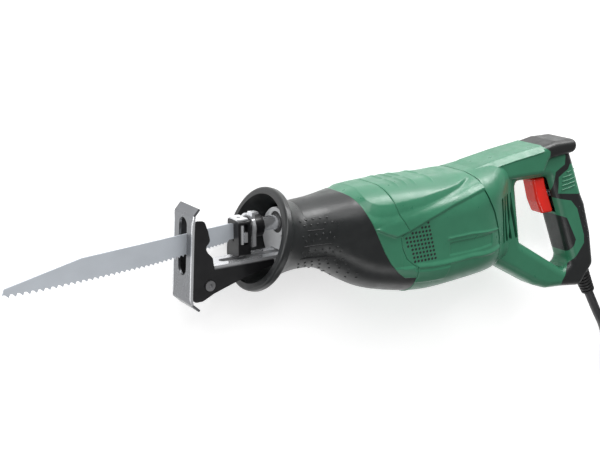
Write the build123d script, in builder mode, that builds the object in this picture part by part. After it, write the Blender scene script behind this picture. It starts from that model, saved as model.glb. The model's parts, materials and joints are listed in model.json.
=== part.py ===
from build123d import *
import os
from math import cos, pi, radians, sin, tan

os.makedirs("parts", exist_ok=True)

# Reciprocating saw lying on its right side. Sizes in millimetres.
# Tool coordinates: x runs rearward from the flange, y towards the tool's top, w towards its left side.
# The datum is the plunger axis where it passes the flange.
DATUM_X = -91.5
DATUM_Y = 43.0
MID_Z = 42.5


def side_plane(w):
    """Plane parallel to the tool's mid-plane, w to its left; sketch axes are tool x and y."""
    return Plane(origin=(DATUM_X, DATUM_Y, MID_Z + w), x_dir=(1, 0, 0), z_dir=(0, 0, 1))


def cross_plane(x):
    """Plane square to the plunger at x; sketch axes are -w and tool y."""
    return Plane(origin=(DATUM_X + x, DATUM_Y, MID_Z), x_dir=(0, 0, -1), z_dir=(1, 0, 0))


def level_plane(y):
    """Plane square to the crank axis at height y; sketch axes are tool x and -w."""
    return Plane(origin=(DATUM_X, DATUM_Y + y, MID_Z), x_dir=(1, 0, 0), z_dir=(0, 1, 0))


# ---------------------------------------------------------------- driving dimensions
WALL = 2.8                      # moulded casing wall
REACH = 60.0                    # reach of a cutter past either side of the tool
RUNNING = 0.05                  # radial clearance of a turning or sliding fit
GAP = 0.4                       # clearance between parts that move past each other

STROKE = 20.0
PLUNGER_R = 6.0
PLUNGER_FRONT = -4.0
PLUNGER_REAR = 132.0

BLADE_THICK = 1.25
CLAMP_FRONT = -20.0
CLAMP_REAR = 4.0
CLAMP_HALF = 8.5
CLAMP_TOP = 7.5
CLAMP_BASE = -22.0

FLANGE_R = 42.5
FLANGE_Y = -10.7
FLANGE_TILT = 18.0
FLANGE_LIP = 5.0
FLANGE_RIM = 6.5
NECK_Y = -12.8
NECK_R = 28.2
NECK_X = 34.0

CRANK_X = 100.0
CRANK_THROW = STROKE / 2
PINION_TEETH = 8
CRANK_TEETH = 40
PINION_PITCH_R = 4.2
CRANK_PITCH_R = PINION_PITCH_R * CRANK_TEETH / PINION_TEETH
MOTOR_Y = -25.2
CRANK_TOP = -14.0
CRANK_BASE = -19.0

SHOE_PIVOT_X = -50.0
SHOE_PIVOT_Y = -37.5
SHOE_HALF = 15.0
SHOE_THICK = 2.0
BAR_TOP = -24.0
BAR_THICK = 2.5
BAR_HALF = 11.0
BRACKET_THICK = 1.6

SHAFT_R = 4.0
STACK_R = 19.0
STACK_START = 156.0
STACK_END = 194.0

GRIP_HALF = 15.0
GRIP_ROUND = 8.0
BEAM_HALF = 20.0
BEAM_ROUND = 6.0

CORD_R = 4.5
EXIT_X = 369.6
EXIT_Y = -90.6
EXIT_SLOPE = (0.5, -0.8660254)
EXIT_HOLE_R = 7.0
COIL_INNER_R = 29.5
COIL_OUTER_R = 72.5
COIL_TALL = 18.4
PIN_R = 2.4
PIN_LENGTH = 19.0
PIN_SPACING = 19.0

# ---------------------------------------------------------------- outlines of the casing
# Stations along the body: x, top, bottom, half width, corner radius.
BODY_STATIONS = (
    (NECK_X, 15.4, -41.0, NECK_R, 28.1),
    (48.0, 16.4, -42.0, 29.0, 28.8),
    (66.0, 18.0, -49.5, 32.0, 29.5),
    (86.0, 20.0, -61.5, 36.5, 30.0),
    (114.0, 21.2, -70.5, 39.5, 30.0),
    (150.0, 21.5, -76.5, 41.0, 30.0),
    (192.0, 21.5, -75.5, 41.0, 30.0),
    (218.0, 24.0, -73.5, 38.5, 27.0),
    (242.0, 28.0, -72.0, 28.0, 22.0),
    (263.0, 30.5, -71.0, 17.0, 15.0),
)

# Side view of the D-shaped handle, of its finger loop and of the beam along its top.
HANDLE_OUTLINE = (
    (232.0, 23.0), (306.0, 27.5), (337.0, 29.0), (344.5, 12.5), (357.5, -17.5), (363.0, -27.0),
    (373.5, -57.5), (380.5, -91.0), (364.0, -112.0), (340.0, -108.8), (318.0, -107.0), (303.0, -101.5),
    (262.0, -78.0), (232.0, -62.0),
)
LOOP_OUTLINE = (
    (270.0, 4.0), (311.8, 4.0), (349.0, -85.0), (340.0, -91.5), (280.0, -54.5),
)
LOOP_CORNERS = (4.0, 6.0, 5.0, 5.0, 6.0)
BEAM_OUTLINE = (
    (214.0, 8.0), (214.0, 23.0), (226.0, 25.0), (261.0, 30.5), (290.0, 34.0), (314.0, 38.3), (343.0, 38.3),
    (340.0, 25.5), (306.0, 22.0), (300.0, 8.0),
)
BEAM_CORNERS = (3.0, 3.0, 3.0, 3.0, 3.0, 3.0, 6.3, 6.3, 3.0, 3.0)

# Joint lines of the casing in side view, from above the tool to below it.
BOOT_LINE = (
    (74, 60), (74, 21), (80, 17), (84, 10), (87, 2), (91, -7), (95.5, -17), (101.5, -30), (108, -41),
    (116, -49.5), (123.5, -55), (136, -56.5), (136, -130),
)
FRONT_LINE = (
    (111, 60), (111, 20), (112, 16.5), (114, 8), (118, -2), (125, -14), (117.5, -19), (119, -27),
    (124.5, -39), (131, -45), (136, -47),
)
REAR_LINE = (
    (205, 60), (206, 22), (210, 17), (212, 8), (217, -2), (224, -12), (231, -27), (235, -38), (235.5, -52),
    (234, -60), (234, -130),
)
CAP_OUTLINE = (
    (296, 60), (297.5, 35), (304.5, 30.5), (305.5, 21.8), (320, 23.6), (337, 26), (352, 28.5), (352, 60),
)
OVERMOULD_OUTLINE = (
    (330, 32), (329.5, 14.5), (318, 8.3), (318, -16.5), (341, -22), (350, -31), (361.7, -59), (362.5, -67),
    (344.5, -90), (336, -101), (336, -130), (400, -130), (400, 32),
)
INSET_OUTLINE = ((322.5, 3), (334, 9.5), (336, 14), (365, 14), (365, -16.5), (350, -16.5), (323.5, -13))
GRIP_PANEL_OUTLINE = (
    (314, -31), (322, -33), (337, -38.5), (351, -62), (349, -68), (343, -76), (335, -76),
)

# Housing screws, driven in from the right: x, y, distance of the boss's far end from the mid-plane.
SCREW_SEATS = ((222.0, 8.0, 33.0), (246.0, -60.0, 23.0), (284.0, 19.0, 19.8), (311.0, 14.0, 14.8),
               (300.0, -82.0, 14.8))
BODY_END_ROUND = 6.0
BOSS_R = 4.2
SCREW_R = 1.6
SCREW_HEAD_R = 3.4
SCREW_HEAD = 2.4
SEAT_DEPTH = 5.0


def tool_point(x, y, w):
    """Point in the part's own axes for a tool position."""
    return (DATUM_X + x, DATUM_Y + y, MID_Z + w)


def exit_plane(along):
    """Plane across the cord's way out of the handle; sketch axes are w and across the mid-plane."""
    x = DATUM_X + EXIT_X + EXIT_SLOPE[0] * along
    y = DATUM_Y + EXIT_Y + EXIT_SLOPE[1] * along
    return Plane(origin=(x, y, MID_Z), x_dir=(0, 0, 1), z_dir=(EXIT_SLOPE[0], EXIT_SLOPE[1], 0))


def body_solid(inset):
    """The body lofted through its stations, shrunk inwards by inset."""
    with BuildPart() as body:
        for x, top, bottom, half, corner in BODY_STATIONS:
            with BuildSketch(cross_plane(min(x, BODY_STATIONS[-1][0] - inset))):
                with Locations((0, (top + bottom) / 2)):
                    RectangleRounded(2 * (half - inset), top - bottom - 2 * inset, corner - inset - 0.1)
        loft()
        fillet(body.edges().group_by(Axis.X)[-1], radius=BODY_END_ROUND - inset)
    return body.part


def between(front, rear):
    """Side-view outline of the band between two joint lines, or from one line to far ahead or behind."""
    ahead = ((-20, -130), (-20, 60))
    behind = ((420, -130), (420, 60))
    return tuple(front or ahead[::-1]) + tuple((rear or behind[::-1])[::-1])


def bell_plane(x, y, tilt):
    """Plane across the flange's bell, leaning back at the top by tilt."""
    lean = radians(tilt)
    return Plane(origin=(DATUM_X + x, DATUM_Y + y, MID_Z), x_dir=(0, 0, -1), z_dir=(cos(lean), -sin(lean), 0))


def rim_edges(part):
    """Edges round both flat sides of a part made by thickening a side view."""
    return part.edges().group_by(Axis.Z)[0] + part.edges().group_by(Axis.Z)[-1]


def handle_solid(inset):
    """The D-shaped handle with its finger loop, shrunk inwards by inset."""
    with BuildPart() as handle:
        with BuildSketch(side_plane(0)):
            with BuildLine():
                FilletPolyline(*HANDLE_OUTLINE, radius=GRIP_ROUND + 1, close=True)
            make_face()
            offset(amount=-inset, mode=Mode.REPLACE)
        extrude(amount=GRIP_HALF - inset, both=True)
        with BuildSketch(side_plane(0)):
            with BuildLine():
                FilletPolyline(*LOOP_OUTLINE, radius=LOOP_CORNERS, close=True)
            make_face()
            offset(amount=inset, mode=Mode.REPLACE)
        extrude(amount=REACH, both=True, mode=Mode.SUBTRACT)
        fillet(rim_edges(handle), radius=GRIP_ROUND - inset)
    return handle.part


def beam_solid(inset):
    """The beam along the top of the handle, shrunk inwards by inset."""
    with BuildPart() as beam:
        with BuildSketch(side_plane(0)):
            with BuildLine():
                FilletPolyline(*BEAM_OUTLINE, radius=BEAM_CORNERS, close=True)
            make_face()
            offset(amount=-inset, mode=Mode.REPLACE)
        extrude(amount=BEAM_HALF - inset, both=True)
        fillet(rim_edges(beam), radius=BEAM_ROUND - inset)
    return beam.part


# ---------------------------------------------------------------- casing
with BuildPart() as casing:
    add(body_solid(0))
    add(handle_solid(0))
    add(beam_solid(0))
casing_outer = casing.part
with BuildPart() as casing_skin:
    add(casing_outer)
    add(body_solid(WALL), mode=Mode.SUBTRACT)
    add(handle_solid(WALL), mode=Mode.SUBTRACT)
    add(beam_solid(WALL), mode=Mode.SUBTRACT)
skin = casing_skin.part

# Soft front grip: a bell-mouthed flange running back into the neck and belly.
BELL_THROAT_X = 20.0
RIM_ROUND = 2.6
with BuildPart() as grip_rim:
    with BuildSketch(bell_plane(0, FLANGE_Y, FLANGE_TILT)):
        Circle(FLANGE_R)
    extrude(amount=FLANGE_LIP + 3.0)
    fillet(grip_rim.edges(), radius=RIM_ROUND)

with BuildPart() as front_grip:
    add(skin)
    with BuildSketch(side_plane(0)):
        with BuildLine():
            Polyline(*between(None, BOOT_LINE), close=True)
        make_face()
    extrude(amount=REACH, both=True, mode=Mode.INTERSECT)
    with BuildSketch(bell_plane(0, FLANGE_Y, FLANGE_TILT).offset(FLANGE_LIP)):
        Circle(FLANGE_R - 3.0)
    with BuildSketch(bell_plane(BELL_THROAT_X, -12.0, FLANGE_TILT / 2)):
        Circle(31.2)
    with BuildSketch(cross_plane(NECK_X)):
        with Locations((0, NECK_Y)):
            Circle(NECK_R)
    loft()
    add(grip_rim.part)
    with BuildSketch(bell_plane(0, FLANGE_Y, FLANGE_TILT).offset(-1)):
        Circle(FLANGE_R - FLANGE_RIM + 1.0)
    with BuildSketch(bell_plane(0, FLANGE_Y, FLANGE_TILT).offset(FLANGE_LIP + 2)):
        Circle(FLANGE_R - FLANGE_RIM - 2.5)
    with BuildSketch(bell_plane(BELL_THROAT_X + 2, -12.4, FLANGE_TILT / 2)):
        Circle(27.0)
    with BuildSketch(cross_plane(NECK_X + 1)):
        with Locations((0, NECK_Y)):
            Circle(NECK_R - WALL)
    loft(mode=Mode.SUBTRACT)
front_grip.part.label = "front_grip"
export_step(front_grip.part, "parts/front_grip.step")

# Green cover over the gear case, between the soft grip and the motor housing.
with BuildPart() as front_cover:
    add(skin)
    with BuildSketch(side_plane(0)):
        with BuildLine():
            Polyline(*between(BOOT_LINE[:-1], FRONT_LINE), close=True)
        make_face()
    extrude(amount=REACH, both=True, mode=Mode.INTERSECT)
front_cover.part.label = "front_cover"
export_step(front_cover.part, "parts/front_cover.step")

# Motor housing with a panel of round cooling holes on each side.
VENT_ROWS = 10
VENT_PITCH = 3.6
VENT_R = 1.15
VENT_APEX = (145.1, -8.7)
VENT_CORNER = (119.5, -20.4)
with BuildPart() as motor_housing:
    add(skin)
    with BuildSketch(side_plane(0)):
        with BuildLine():
            Polyline(*between(FRONT_LINE + BOOT_LINE[-1:], REAR_LINE), close=True)
        make_face()
    extrude(amount=REACH, both=True, mode=Mode.INTERSECT)
    with BuildSketch(side_plane(0)):
        for row in range(VENT_ROWS):
            row_y = VENT_APEX[1] - 1.0 - row * VENT_PITCH
            row_end = VENT_APEX[0] + 0.277 * (VENT_APEX[1] - row_y)
            row_front = VENT_APEX[0] - 2.19 * (VENT_APEX[1] - row_y) + 1.5
            if row_y < VENT_CORNER[1]:
                row_front = VENT_CORNER[0] + 0.478 * (VENT_CORNER[1] - row_y) + 1.5
            for column in range(int((row_end - row_front) / VENT_PITCH) + 1):
                with Locations((row_end - column * VENT_PITCH, row_y)):
                    Circle(VENT_R)
    extrude(amount=REACH, both=True, mode=Mode.SUBTRACT)
motor_housing.part.label = "motor_housing"
export_step(motor_housing.part, "parts/motor_housing.step")

# Parts of the D-shaped handle. Everything behind the rear joint line is moulded in two halves,
# with soft panels and a cap let into it, a hole for the cord and a window for the trigger.
TRIGGER_HALF = 8.5
TRIGGER_TOP = 3.0
TRIGGER_BASE = -33.0
with BuildPart() as handle_skin:
    add(skin)
    with BuildSketch(side_plane(0)):
        with BuildLine():
            Polyline(*between(REAR_LINE, None), close=True)
        make_face()
    extrude(amount=REACH, both=True, mode=Mode.INTERSECT)
    with BuildSketch(exit_plane(0)):
        Circle(EXIT_HOLE_R)
    extrude(amount=REACH, mode=Mode.SUBTRACT)
    with BuildSketch(side_plane(0)):
        with BuildLine():
            Polyline((296, TRIGGER_TOP + GAP), (318, TRIGGER_TOP + GAP), (333, TRIGGER_BASE),
                     (300, TRIGGER_BASE), close=True)
        make_face()
    extrude(amount=TRIGGER_HALF + GAP, both=True, mode=Mode.SUBTRACT)

with BuildPart() as top_cap:
    add(handle_skin.part)
    with BuildSketch(side_plane(0)):
        with BuildLine():
            Polyline(*CAP_OUTLINE, close=True)
        make_face()
    extrude(amount=REACH, both=True, mode=Mode.INTERSECT)
top_cap.part.label = "top_cap"
export_step(top_cap.part, "parts/top_cap.step")

with BuildPart() as thumb_rests:
    add(handle_skin.part)
    with BuildSketch(side_plane(0)):
        with BuildLine():
            Polyline(*INSET_OUTLINE, close=True)
        make_face()
    extrude(amount=REACH, both=True, mode=Mode.INTERSECT)
thumb_rests.part.label = "thumb_rests"
export_step(thumb_rests.part, "parts/thumb_rests.step")

with BuildPart() as rear_overmould:
    add(handle_skin.part)
    with BuildSketch(side_plane(0)):
        with BuildLine():
            Polyline(*OVERMOULD_OUTLINE, close=True)
        make_face()
    extrude(amount=REACH, both=True, mode=Mode.INTERSECT)
    add(top_cap.part, mode=Mode.SUBTRACT)
    add(thumb_rests.part, mode=Mode.SUBTRACT)
rear_overmould.part.label = "rear_overmould"
export_step(rear_overmould.part, "parts/rear_overmould.step")

with BuildPart() as grip_panel:
    add(handle_skin.part)
    with BuildSketch(side_plane(0)):
        with BuildLine():
            Polyline(*GRIP_PANEL_OUTLINE, close=True)
        make_face()
    extrude(amount=REACH, both=True, mode=Mode.INTERSECT)
grip_panel.part.label = "grip_panel"
export_step(grip_panel.part, "parts/grip_panel.step")

# Cooling slots beside the finger loop.
SLOT_COUNT = 4
SLOT_PITCH = 7.5
SLOT_WIDE = 3.4
SLOT_LONG = 48.0
SLOT_LEAN = 106.0
SLOT_X = 243.7
SLOT_Y = -26.0
with BuildPart() as handle_shell:
    add(handle_skin.part)
    for panel in (top_cap, thumb_rests, rear_overmould, grip_panel):
        add(panel.part, mode=Mode.SUBTRACT)
    with BuildSketch(side_plane(0)):
        for slot in range(SLOT_COUNT):
            with Locations((SLOT_X + slot * SLOT_PITCH, SLOT_Y)):
                SlotOverall(SLOT_LONG, SLOT_WIDE, rotation=SLOT_LEAN)
    extrude(amount=REACH, both=True, mode=Mode.SUBTRACT)

with BuildPart() as handle_shell_left:
    add(handle_shell.part)
    for x, y, depth in SCREW_SEATS:
        with BuildSketch(side_plane(0)):
            with Locations((x, y)):
                Circle(BOSS_R)
        extrude(amount=depth - WALL / 2)
    add(casing_outer, mode=Mode.INTERSECT)
    with BuildSketch(side_plane(-1)):
        with Locations(*[(x, y) for x, y, depth in SCREW_SEATS]):
            Circle(SCREW_R)
    extrude(amount=9.5, mode=Mode.SUBTRACT)
    split(bisect_by=side_plane(0), keep=Keep.TOP)
handle_shell_left.part.label = "handle_shell_left"
export_step(handle_shell_left.part, "parts/handle_shell_left.step")

with BuildPart() as handle_shell_right:
    add(handle_shell.part)
    for x, y, depth in SCREW_SEATS:
        with BuildSketch(side_plane(0)):
            with Locations((x, y)):
                Circle(BOSS_R)
        extrude(amount=WALL / 2 - depth)
    add(casing_outer, mode=Mode.INTERSECT)
    with BuildSketch(side_plane(1)):
        with Locations(*[(x, y) for x, y, depth in SCREW_SEATS]):
            Circle(SCREW_R + 0.3)
    extrude(amount=-REACH, mode=Mode.SUBTRACT)
    for x, y, depth in SCREW_SEATS:
        with BuildSketch(side_plane(SEAT_DEPTH - depth)):
            with Locations((x, y)):
                Circle(SCREW_HEAD_R + 0.3)
        extrude(amount=-REACH, mode=Mode.SUBTRACT)
    split(bisect_by=side_plane(0), keep=Keep.BOTTOM)
handle_shell_right.part.label = "handle_shell_right"
export_step(handle_shell_right.part, "parts/handle_shell_right.step")

with BuildPart() as handle_screws:
    for x, y, depth in SCREW_SEATS:
        with BuildSketch(side_plane(SEAT_DEPTH - depth)):
            with Locations((x, y)):
                Circle(SCREW_R)
        extrude(amount=depth - SEAT_DEPTH + 8.5)
        with BuildSketch(side_plane(SEAT_DEPTH - depth)):
            with Locations((x, y)):
                Circle(SCREW_HEAD_R)
        extrude(amount=-SCREW_HEAD)
        with BuildSketch(side_plane(SEAT_DEPTH - depth - SCREW_HEAD)):
            with Locations((x, y)):
                Rectangle(3.8, 0.9)
                Rectangle(0.9, 3.8)
        extrude(amount=1.5, mode=Mode.SUBTRACT)
handle_screws.part.label = "handle_screws"
export_step(handle_screws.part, "parts/handle_screws.step")

# ---------------------------------------------------------------- gear case and guides
NOSE_R = 12.0
NOSE_X = 20.0
CASE_R = 27.0
CASE_WALL = 2.7
CASE_TOP = 13.0
CASE_BASE = -46.0
BUSH_R = 9.0
GUIDE_TOP = -15.0
GUIDE_BASE = -32.0
GUIDE_HALF = 14.5
GUIDE_X = 26.0
GUIDE_END = 76.0
MOTOR_BOSS_R = 14.0
BEARING_R = 11.0
FRONT_BEARING_X = 128.0
BEARING_LONG = 8.0
SUPPORT_SCREWS_X = (34.0, 46.0)
SUPPORT_SCREW_R = 2.4
COVER_SCREWS = ((16.0, 17.5), (-16.0, 17.5), (16.0, -17.5), (-16.0, -17.5))

with BuildPart() as gear_case:
    with BuildSketch(level_plane(CASE_BASE)):
        with Locations((CRANK_X, 0)):
            Circle(CASE_R)
    extrude(amount=CASE_TOP - CASE_BASE)
    fillet(gear_case.edges().group_by(Axis.Y)[-1], radius=7.0)
    with BuildSketch(cross_plane(NOSE_X)):
        Circle(NOSE_R)
    extrude(amount=120.0)
    with BuildSketch(cross_plane(CRANK_X)):
        with Locations((0, MOTOR_Y)):
            Circle(MOTOR_BOSS_R)
    extrude(amount=FRONT_BEARING_X + BEARING_LONG + 1.0 - CRANK_X)
    with BuildSketch(cross_plane(GUIDE_X)):
        with Locations((0, (GUIDE_TOP + GUIDE_BASE) / 2)):
            RectangleRounded(2 * GUIDE_HALF, GUIDE_TOP - GUIDE_BASE, 3.0)
    extrude(amount=GUIDE_END - GUIDE_X)
    with BuildSketch(level_plane(CASE_BASE)):
        with Locations((CRANK_X, 0)):
            Circle(CASE_R - CASE_WALL)
    extrude(amount=CASE_TOP - CASE_WALL - CASE_BASE, mode=Mode.SUBTRACT)
    with BuildSketch(cross_plane(NOSE_X)):
        Circle(BUSH_R)
    extrude(amount=120.0, mode=Mode.SUBTRACT)
    with BuildSketch(cross_plane(FRONT_BEARING_X)):
        with Locations((0, MOTOR_Y)):
            Circle(BEARING_R)
    extrude(amount=20.0, mode=Mode.SUBTRACT)
    with BuildSketch(cross_plane(CRANK_X)):
        with Locations((0, MOTOR_Y)):
            Circle(8.0)
    extrude(amount=60.0, mode=Mode.SUBTRACT)
    with BuildSketch(cross_plane(GUIDE_X)):
        with Locations((0, BAR_TOP - BAR_THICK / 2)):
            Rectangle(2 * BAR_HALF + 0.6, BAR_THICK + 0.6)
    extrude(amount=70.0 - GUIDE_X, mode=Mode.SUBTRACT)
    with BuildSketch(level_plane(GUIDE_BASE)):
        with Locations(*[(x, 0) for x in SUPPORT_SCREWS_X]):
            Circle(SUPPORT_SCREW_R + 0.2)
    extrude(amount=14.0, mode=Mode.SUBTRACT)
    with BuildSketch(level_plane(CASE_BASE)):
        with Locations(*[(CRANK_X + dx, dz) for dx, dz in COVER_SCREWS]):
            Circle(1.7)
    extrude(amount=5.0, mode=Mode.SUBTRACT)
gear_case.part.label = "gear_case"
export_step(gear_case.part, "parts/gear_case.step")

CRANK_BOSS_R = 11.0
CRANK_BOSS_LONG = 22.0
SPINDLE_R = 4.0
SPINDLE_BEARING_R = 8.0
COVER_THICK = 3.0
with BuildPart() as gear_case_cover:
    with BuildSketch(level_plane(CASE_BASE)):
        with Locations((CRANK_X, 0)):
            Circle(CASE_R)
    extrude(amount=-COVER_THICK)
    with BuildSketch(level_plane(CASE_BASE)):
        with Locations((CRANK_X, 0)):
            Circle(CRANK_BOSS_R)
    extrude(amount=CRANK_BOSS_LONG)
    with BuildSketch(level_plane(CASE_BASE)):
        with Locations((CRANK_X, 0)):
            Circle(SPINDLE_BEARING_R)
    extrude(amount=CRANK_BOSS_LONG, mode=Mode.SUBTRACT)
    with BuildSketch(level_plane(CASE_BASE - COVER_THICK)):
        with Locations(*[(CRANK_X + dx, dz) for dx, dz in COVER_SCREWS]):
            Circle(2.0)
    extrude(amount=COVER_THICK, mode=Mode.SUBTRACT)
gear_case_cover.part.label = "gear_case_cover"
export_step(gear_case_cover.part, "parts/gear_case_cover.step")

with BuildPart() as gear_case_screws:
    for dx, dz in COVER_SCREWS:
        with BuildSketch(level_plane(CASE_BASE - COVER_THICK)):
            with Locations((CRANK_X + dx, dz)):
                Circle(1.7)
        extrude(amount=COVER_THICK + 4.8)
        with BuildSketch(level_plane(CASE_BASE - COVER_THICK)):
            with Locations((CRANK_X + dx, dz)):
                Circle(3.2)
        extrude(amount=-2.4)
gear_case_screws.part.label = "gear_case_screws"
export_step(gear_case_screws.part, "parts/gear_case_screws.step")

with BuildPart() as spindle_bearings:
    for base in (CASE_BASE, CASE_BASE + CRANK_BOSS_LONG - 7.0):
        with BuildSketch(level_plane(base)):
            with Locations((CRANK_X, 0)):
                Circle(SPINDLE_BEARING_R)
                Circle(SPINDLE_R + RUNNING, mode=Mode.SUBTRACT)
        extrude(amount=7.0)
spindle_bearings.part.label = "spindle_bearings"
export_step(spindle_bearings.part, "parts/spindle_bearings.step")

# Plate closing the neck round the plunger and the support bar.
with BuildPart() as nose_plate:
    with BuildSketch(cross_plane(NOSE_X + 2.0)):
        with Locations((0, NECK_Y)):
            Circle(NECK_R - WALL - 0.8)
        Circle(NOSE_R, mode=Mode.SUBTRACT)
        with Locations((0, BAR_TOP - BAR_THICK / 2)):
            Rectangle(2 * BAR_HALF + 1.0, BAR_THICK + 1.0, mode=Mode.SUBTRACT)
    extrude(amount=GUIDE_X - NOSE_X - 2.0)
nose_plate.part.label = "nose_plate"
export_step(nose_plate.part, "parts/nose_plate.step")

FRONT_BUSH = (26.0, 50.0)
REAR_BUSH = (119.5, 139.0)
with BuildPart() as plunger_bushes:
    for start, end in (FRONT_BUSH, REAR_BUSH):
        with BuildSketch(cross_plane(start)):
            Circle(BUSH_R)
            Circle(PLUNGER_R + RUNNING, mode=Mode.SUBTRACT)
        extrude(amount=end - start)
plunger_bushes.part.label = "plunger_bushes"
export_step(plunger_bushes.part, "parts/plunger_bushes.step")

with BuildPart() as plunger_seal:
    with BuildSketch(cross_plane(NOSE_X + 0.5)):
        Circle(BUSH_R)
        Circle(PLUNGER_R + RUNNING, mode=Mode.SUBTRACT)
    extrude(amount=5.0)
plunger_seal.part.label = "plunger_seal"
export_step(plunger_seal.part, "parts/plunger_seal.step")

# ---------------------------------------------------------------- plunger drive
with BuildPart() as plunger:
    with BuildSketch(cross_plane(PLUNGER_FRONT)):
        Circle(PLUNGER_R)
    extrude(amount=PLUNGER_REAR - PLUNGER_FRONT)
    chamfer(plunger.edges().group_by(Axis.X)[-1], length=1.0)
plunger.part.label = "plunger"
export_step(plunger.part, "parts/plunger.step")

# Yoke clamped on the plunger, with the cross slot that the crank pin drives.
YOKE_HALF_X = 9.0
YOKE_HALF_W = 16.5
YOKE_CORNER = 6.0
YOKE_BASE = -11.5
YOKE_TOP = 8.0
PIN_CRANK_R = 3.5
with BuildPart() as yoke:
    with BuildSketch(level_plane(YOKE_BASE)):
        with Locations((CRANK_X, 0)):
            RectangleRounded(2 * YOKE_HALF_X, 2 * YOKE_HALF_W, YOKE_CORNER)
    extrude(amount=YOKE_TOP - YOKE_BASE)
    with BuildSketch(cross_plane(CRANK_X - YOKE_HALF_X)):
        Circle(PLUNGER_R)
    extrude(amount=2 * YOKE_HALF_X, mode=Mode.SUBTRACT)
    with BuildSketch(level_plane(YOKE_BASE)):
        with Locations((CRANK_X, 0)):
            SlotOverall(2 * (CRANK_THROW + PIN_CRANK_R) + 2.0, 2 * PIN_CRANK_R + 0.4, rotation=90)
    extrude(amount=4.5, mode=Mode.SUBTRACT)
yoke.part.label = "yoke"
export_step(yoke.part, "parts/yoke.step")

# Crank gear: a face gear with the crank pin set off its centre.
TOOTH_THICK = 1.25
GEAR_MESH = MOTOR_Y + PINION_PITCH_R
with BuildPart() as crank_gear:
    with BuildSketch(level_plane(CRANK_BASE)):
        with Locations((CRANK_X, 0)):
            Circle(CRANK_PITCH_R + 2.3)
    extrude(amount=CRANK_TOP - CRANK_BASE)
    with BuildSketch(level_plane(CRANK_BASE)):
        with Locations((CRANK_X, 0)):
            with PolarLocations(CRANK_PITCH_R, CRANK_TEETH):
                Rectangle(4.0, TOOTH_THICK)
    extrude(amount=GEAR_MESH - 0.6 - CRANK_BASE)
    with BuildSketch(level_plane(CRANK_BASE)):
        with Locations((CRANK_X, 0)):
            Circle(SPINDLE_R)
    extrude(amount=CRANK_TOP - CRANK_BASE, mode=Mode.SUBTRACT)
crank_gear.part.label = "crank_gear"
export_step(crank_gear.part, "parts/crank_gear.step")

with BuildPart() as crank_spindle:
    with BuildSketch(level_plane(CASE_BASE + 1.0)):
        with Locations((CRANK_X, 0)):
            Circle(SPINDLE_R)
    extrude(amount=CRANK_TOP - CASE_BASE - 1.0)
crank_spindle.part.label = "crank_spindle"
export_step(crank_spindle.part, "parts/crank_spindle.step")

# The pin stops half a millimetre short of the yoke's slot: see the stand-ins.
with BuildPart() as crank_pin:
    with BuildSketch(level_plane(CRANK_TOP)):
        with Locations((CRANK_X, CRANK_THROW)):
            Circle(PIN_CRANK_R)
    extrude(amount=YOKE_BASE - 0.5 - CRANK_TOP)
crank_pin.part.label = "crank_pin"
export_step(crank_pin.part, "parts/crank_pin.step")

# ---------------------------------------------------------------- motor
PINION_START = 117.5
PINION_END = 125.0
SHAFT_END = 231.0
with BuildPart() as pinion:
    with BuildSketch(cross_plane(PINION_START)):
        with Locations((0, MOTOR_Y)):
            Circle(PINION_PITCH_R - 0.9)
            with PolarLocations(PINION_PITCH_R - 0.4, PINION_TEETH, start_angle=90 + 180 / PINION_TEETH):
                Rectangle(2.2, TOOTH_THICK)
        with Locations((0, MOTOR_Y)):
            Circle(2.0, mode=Mode.SUBTRACT)
    extrude(amount=PINION_END - PINION_START)
pinion.part.label = "pinion"
export_step(pinion.part, "parts/pinion.step")

with BuildPart() as armature_shaft:
    with BuildSketch(cross_plane(PINION_START)):
        with Locations((0, MOTOR_Y)):
            Circle(2.0)
    extrude(amount=PINION_END - PINION_START)
    with BuildSketch(cross_plane(PINION_END)):
        with Locations((0, MOTOR_Y)):
            Circle(SHAFT_R)
    extrude(amount=SHAFT_END - PINION_END)
    chamfer(armature_shaft.edges().group_by(Axis.X)[-1], length=0.6)
armature_shaft.part.label = "armature_shaft"
export_step(armature_shaft.part, "parts/armature_shaft.step")

STACK_SLOTS = 12
with BuildPart() as armature_stack:
    with BuildSketch(cross_plane(STACK_START)):
        with Locations((0, MOTOR_Y)):
            Circle(STACK_R)
            Circle(SHAFT_R, mode=Mode.SUBTRACT)
            with PolarLocations(STACK_R - 3.0, STACK_SLOTS):
                Rectangle(7.0, 2.2, mode=Mode.SUBTRACT)
    extrude(amount=STACK_END - STACK_START)
armature_stack.part.label = "armature_stack"
export_step(armature_stack.part, "parts/armature_stack.step")

WINDING_LONG = 6.0
with BuildPart() as armature_windings:
    for start in (STACK_START - WINDING_LONG, STACK_END):
        with BuildSketch(cross_plane(start)):
            with Locations((0, MOTOR_Y)):
                Circle(STACK_R - 2.5)
                Circle(SHAFT_R, mode=Mode.SUBTRACT)
        extrude(amount=WINDING_LONG)
armature_windings.part.label = "armature_windings"
export_step(armature_windings.part, "parts/armature_windings.step")

COMMUTATOR_X = 203.0
COMMUTATOR_LONG = 13.0
COMMUTATOR_R = 11.0
COMMUTATOR_BARS = 24
with BuildPart() as commutator:
    with BuildSketch(cross_plane(COMMUTATOR_X)):
        with Locations((0, MOTOR_Y)):
            Circle(COMMUTATOR_R)
            Circle(SHAFT_R, mode=Mode.SUBTRACT)
            with PolarLocations(COMMUTATOR_R - 0.4, COMMUTATOR_BARS):
                Rectangle(1.2, 0.5, mode=Mode.SUBTRACT)
    extrude(amount=COMMUTATOR_LONG)
commutator.part.label = "commutator"
export_step(commutator.part, "parts/commutator.step")

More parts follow.
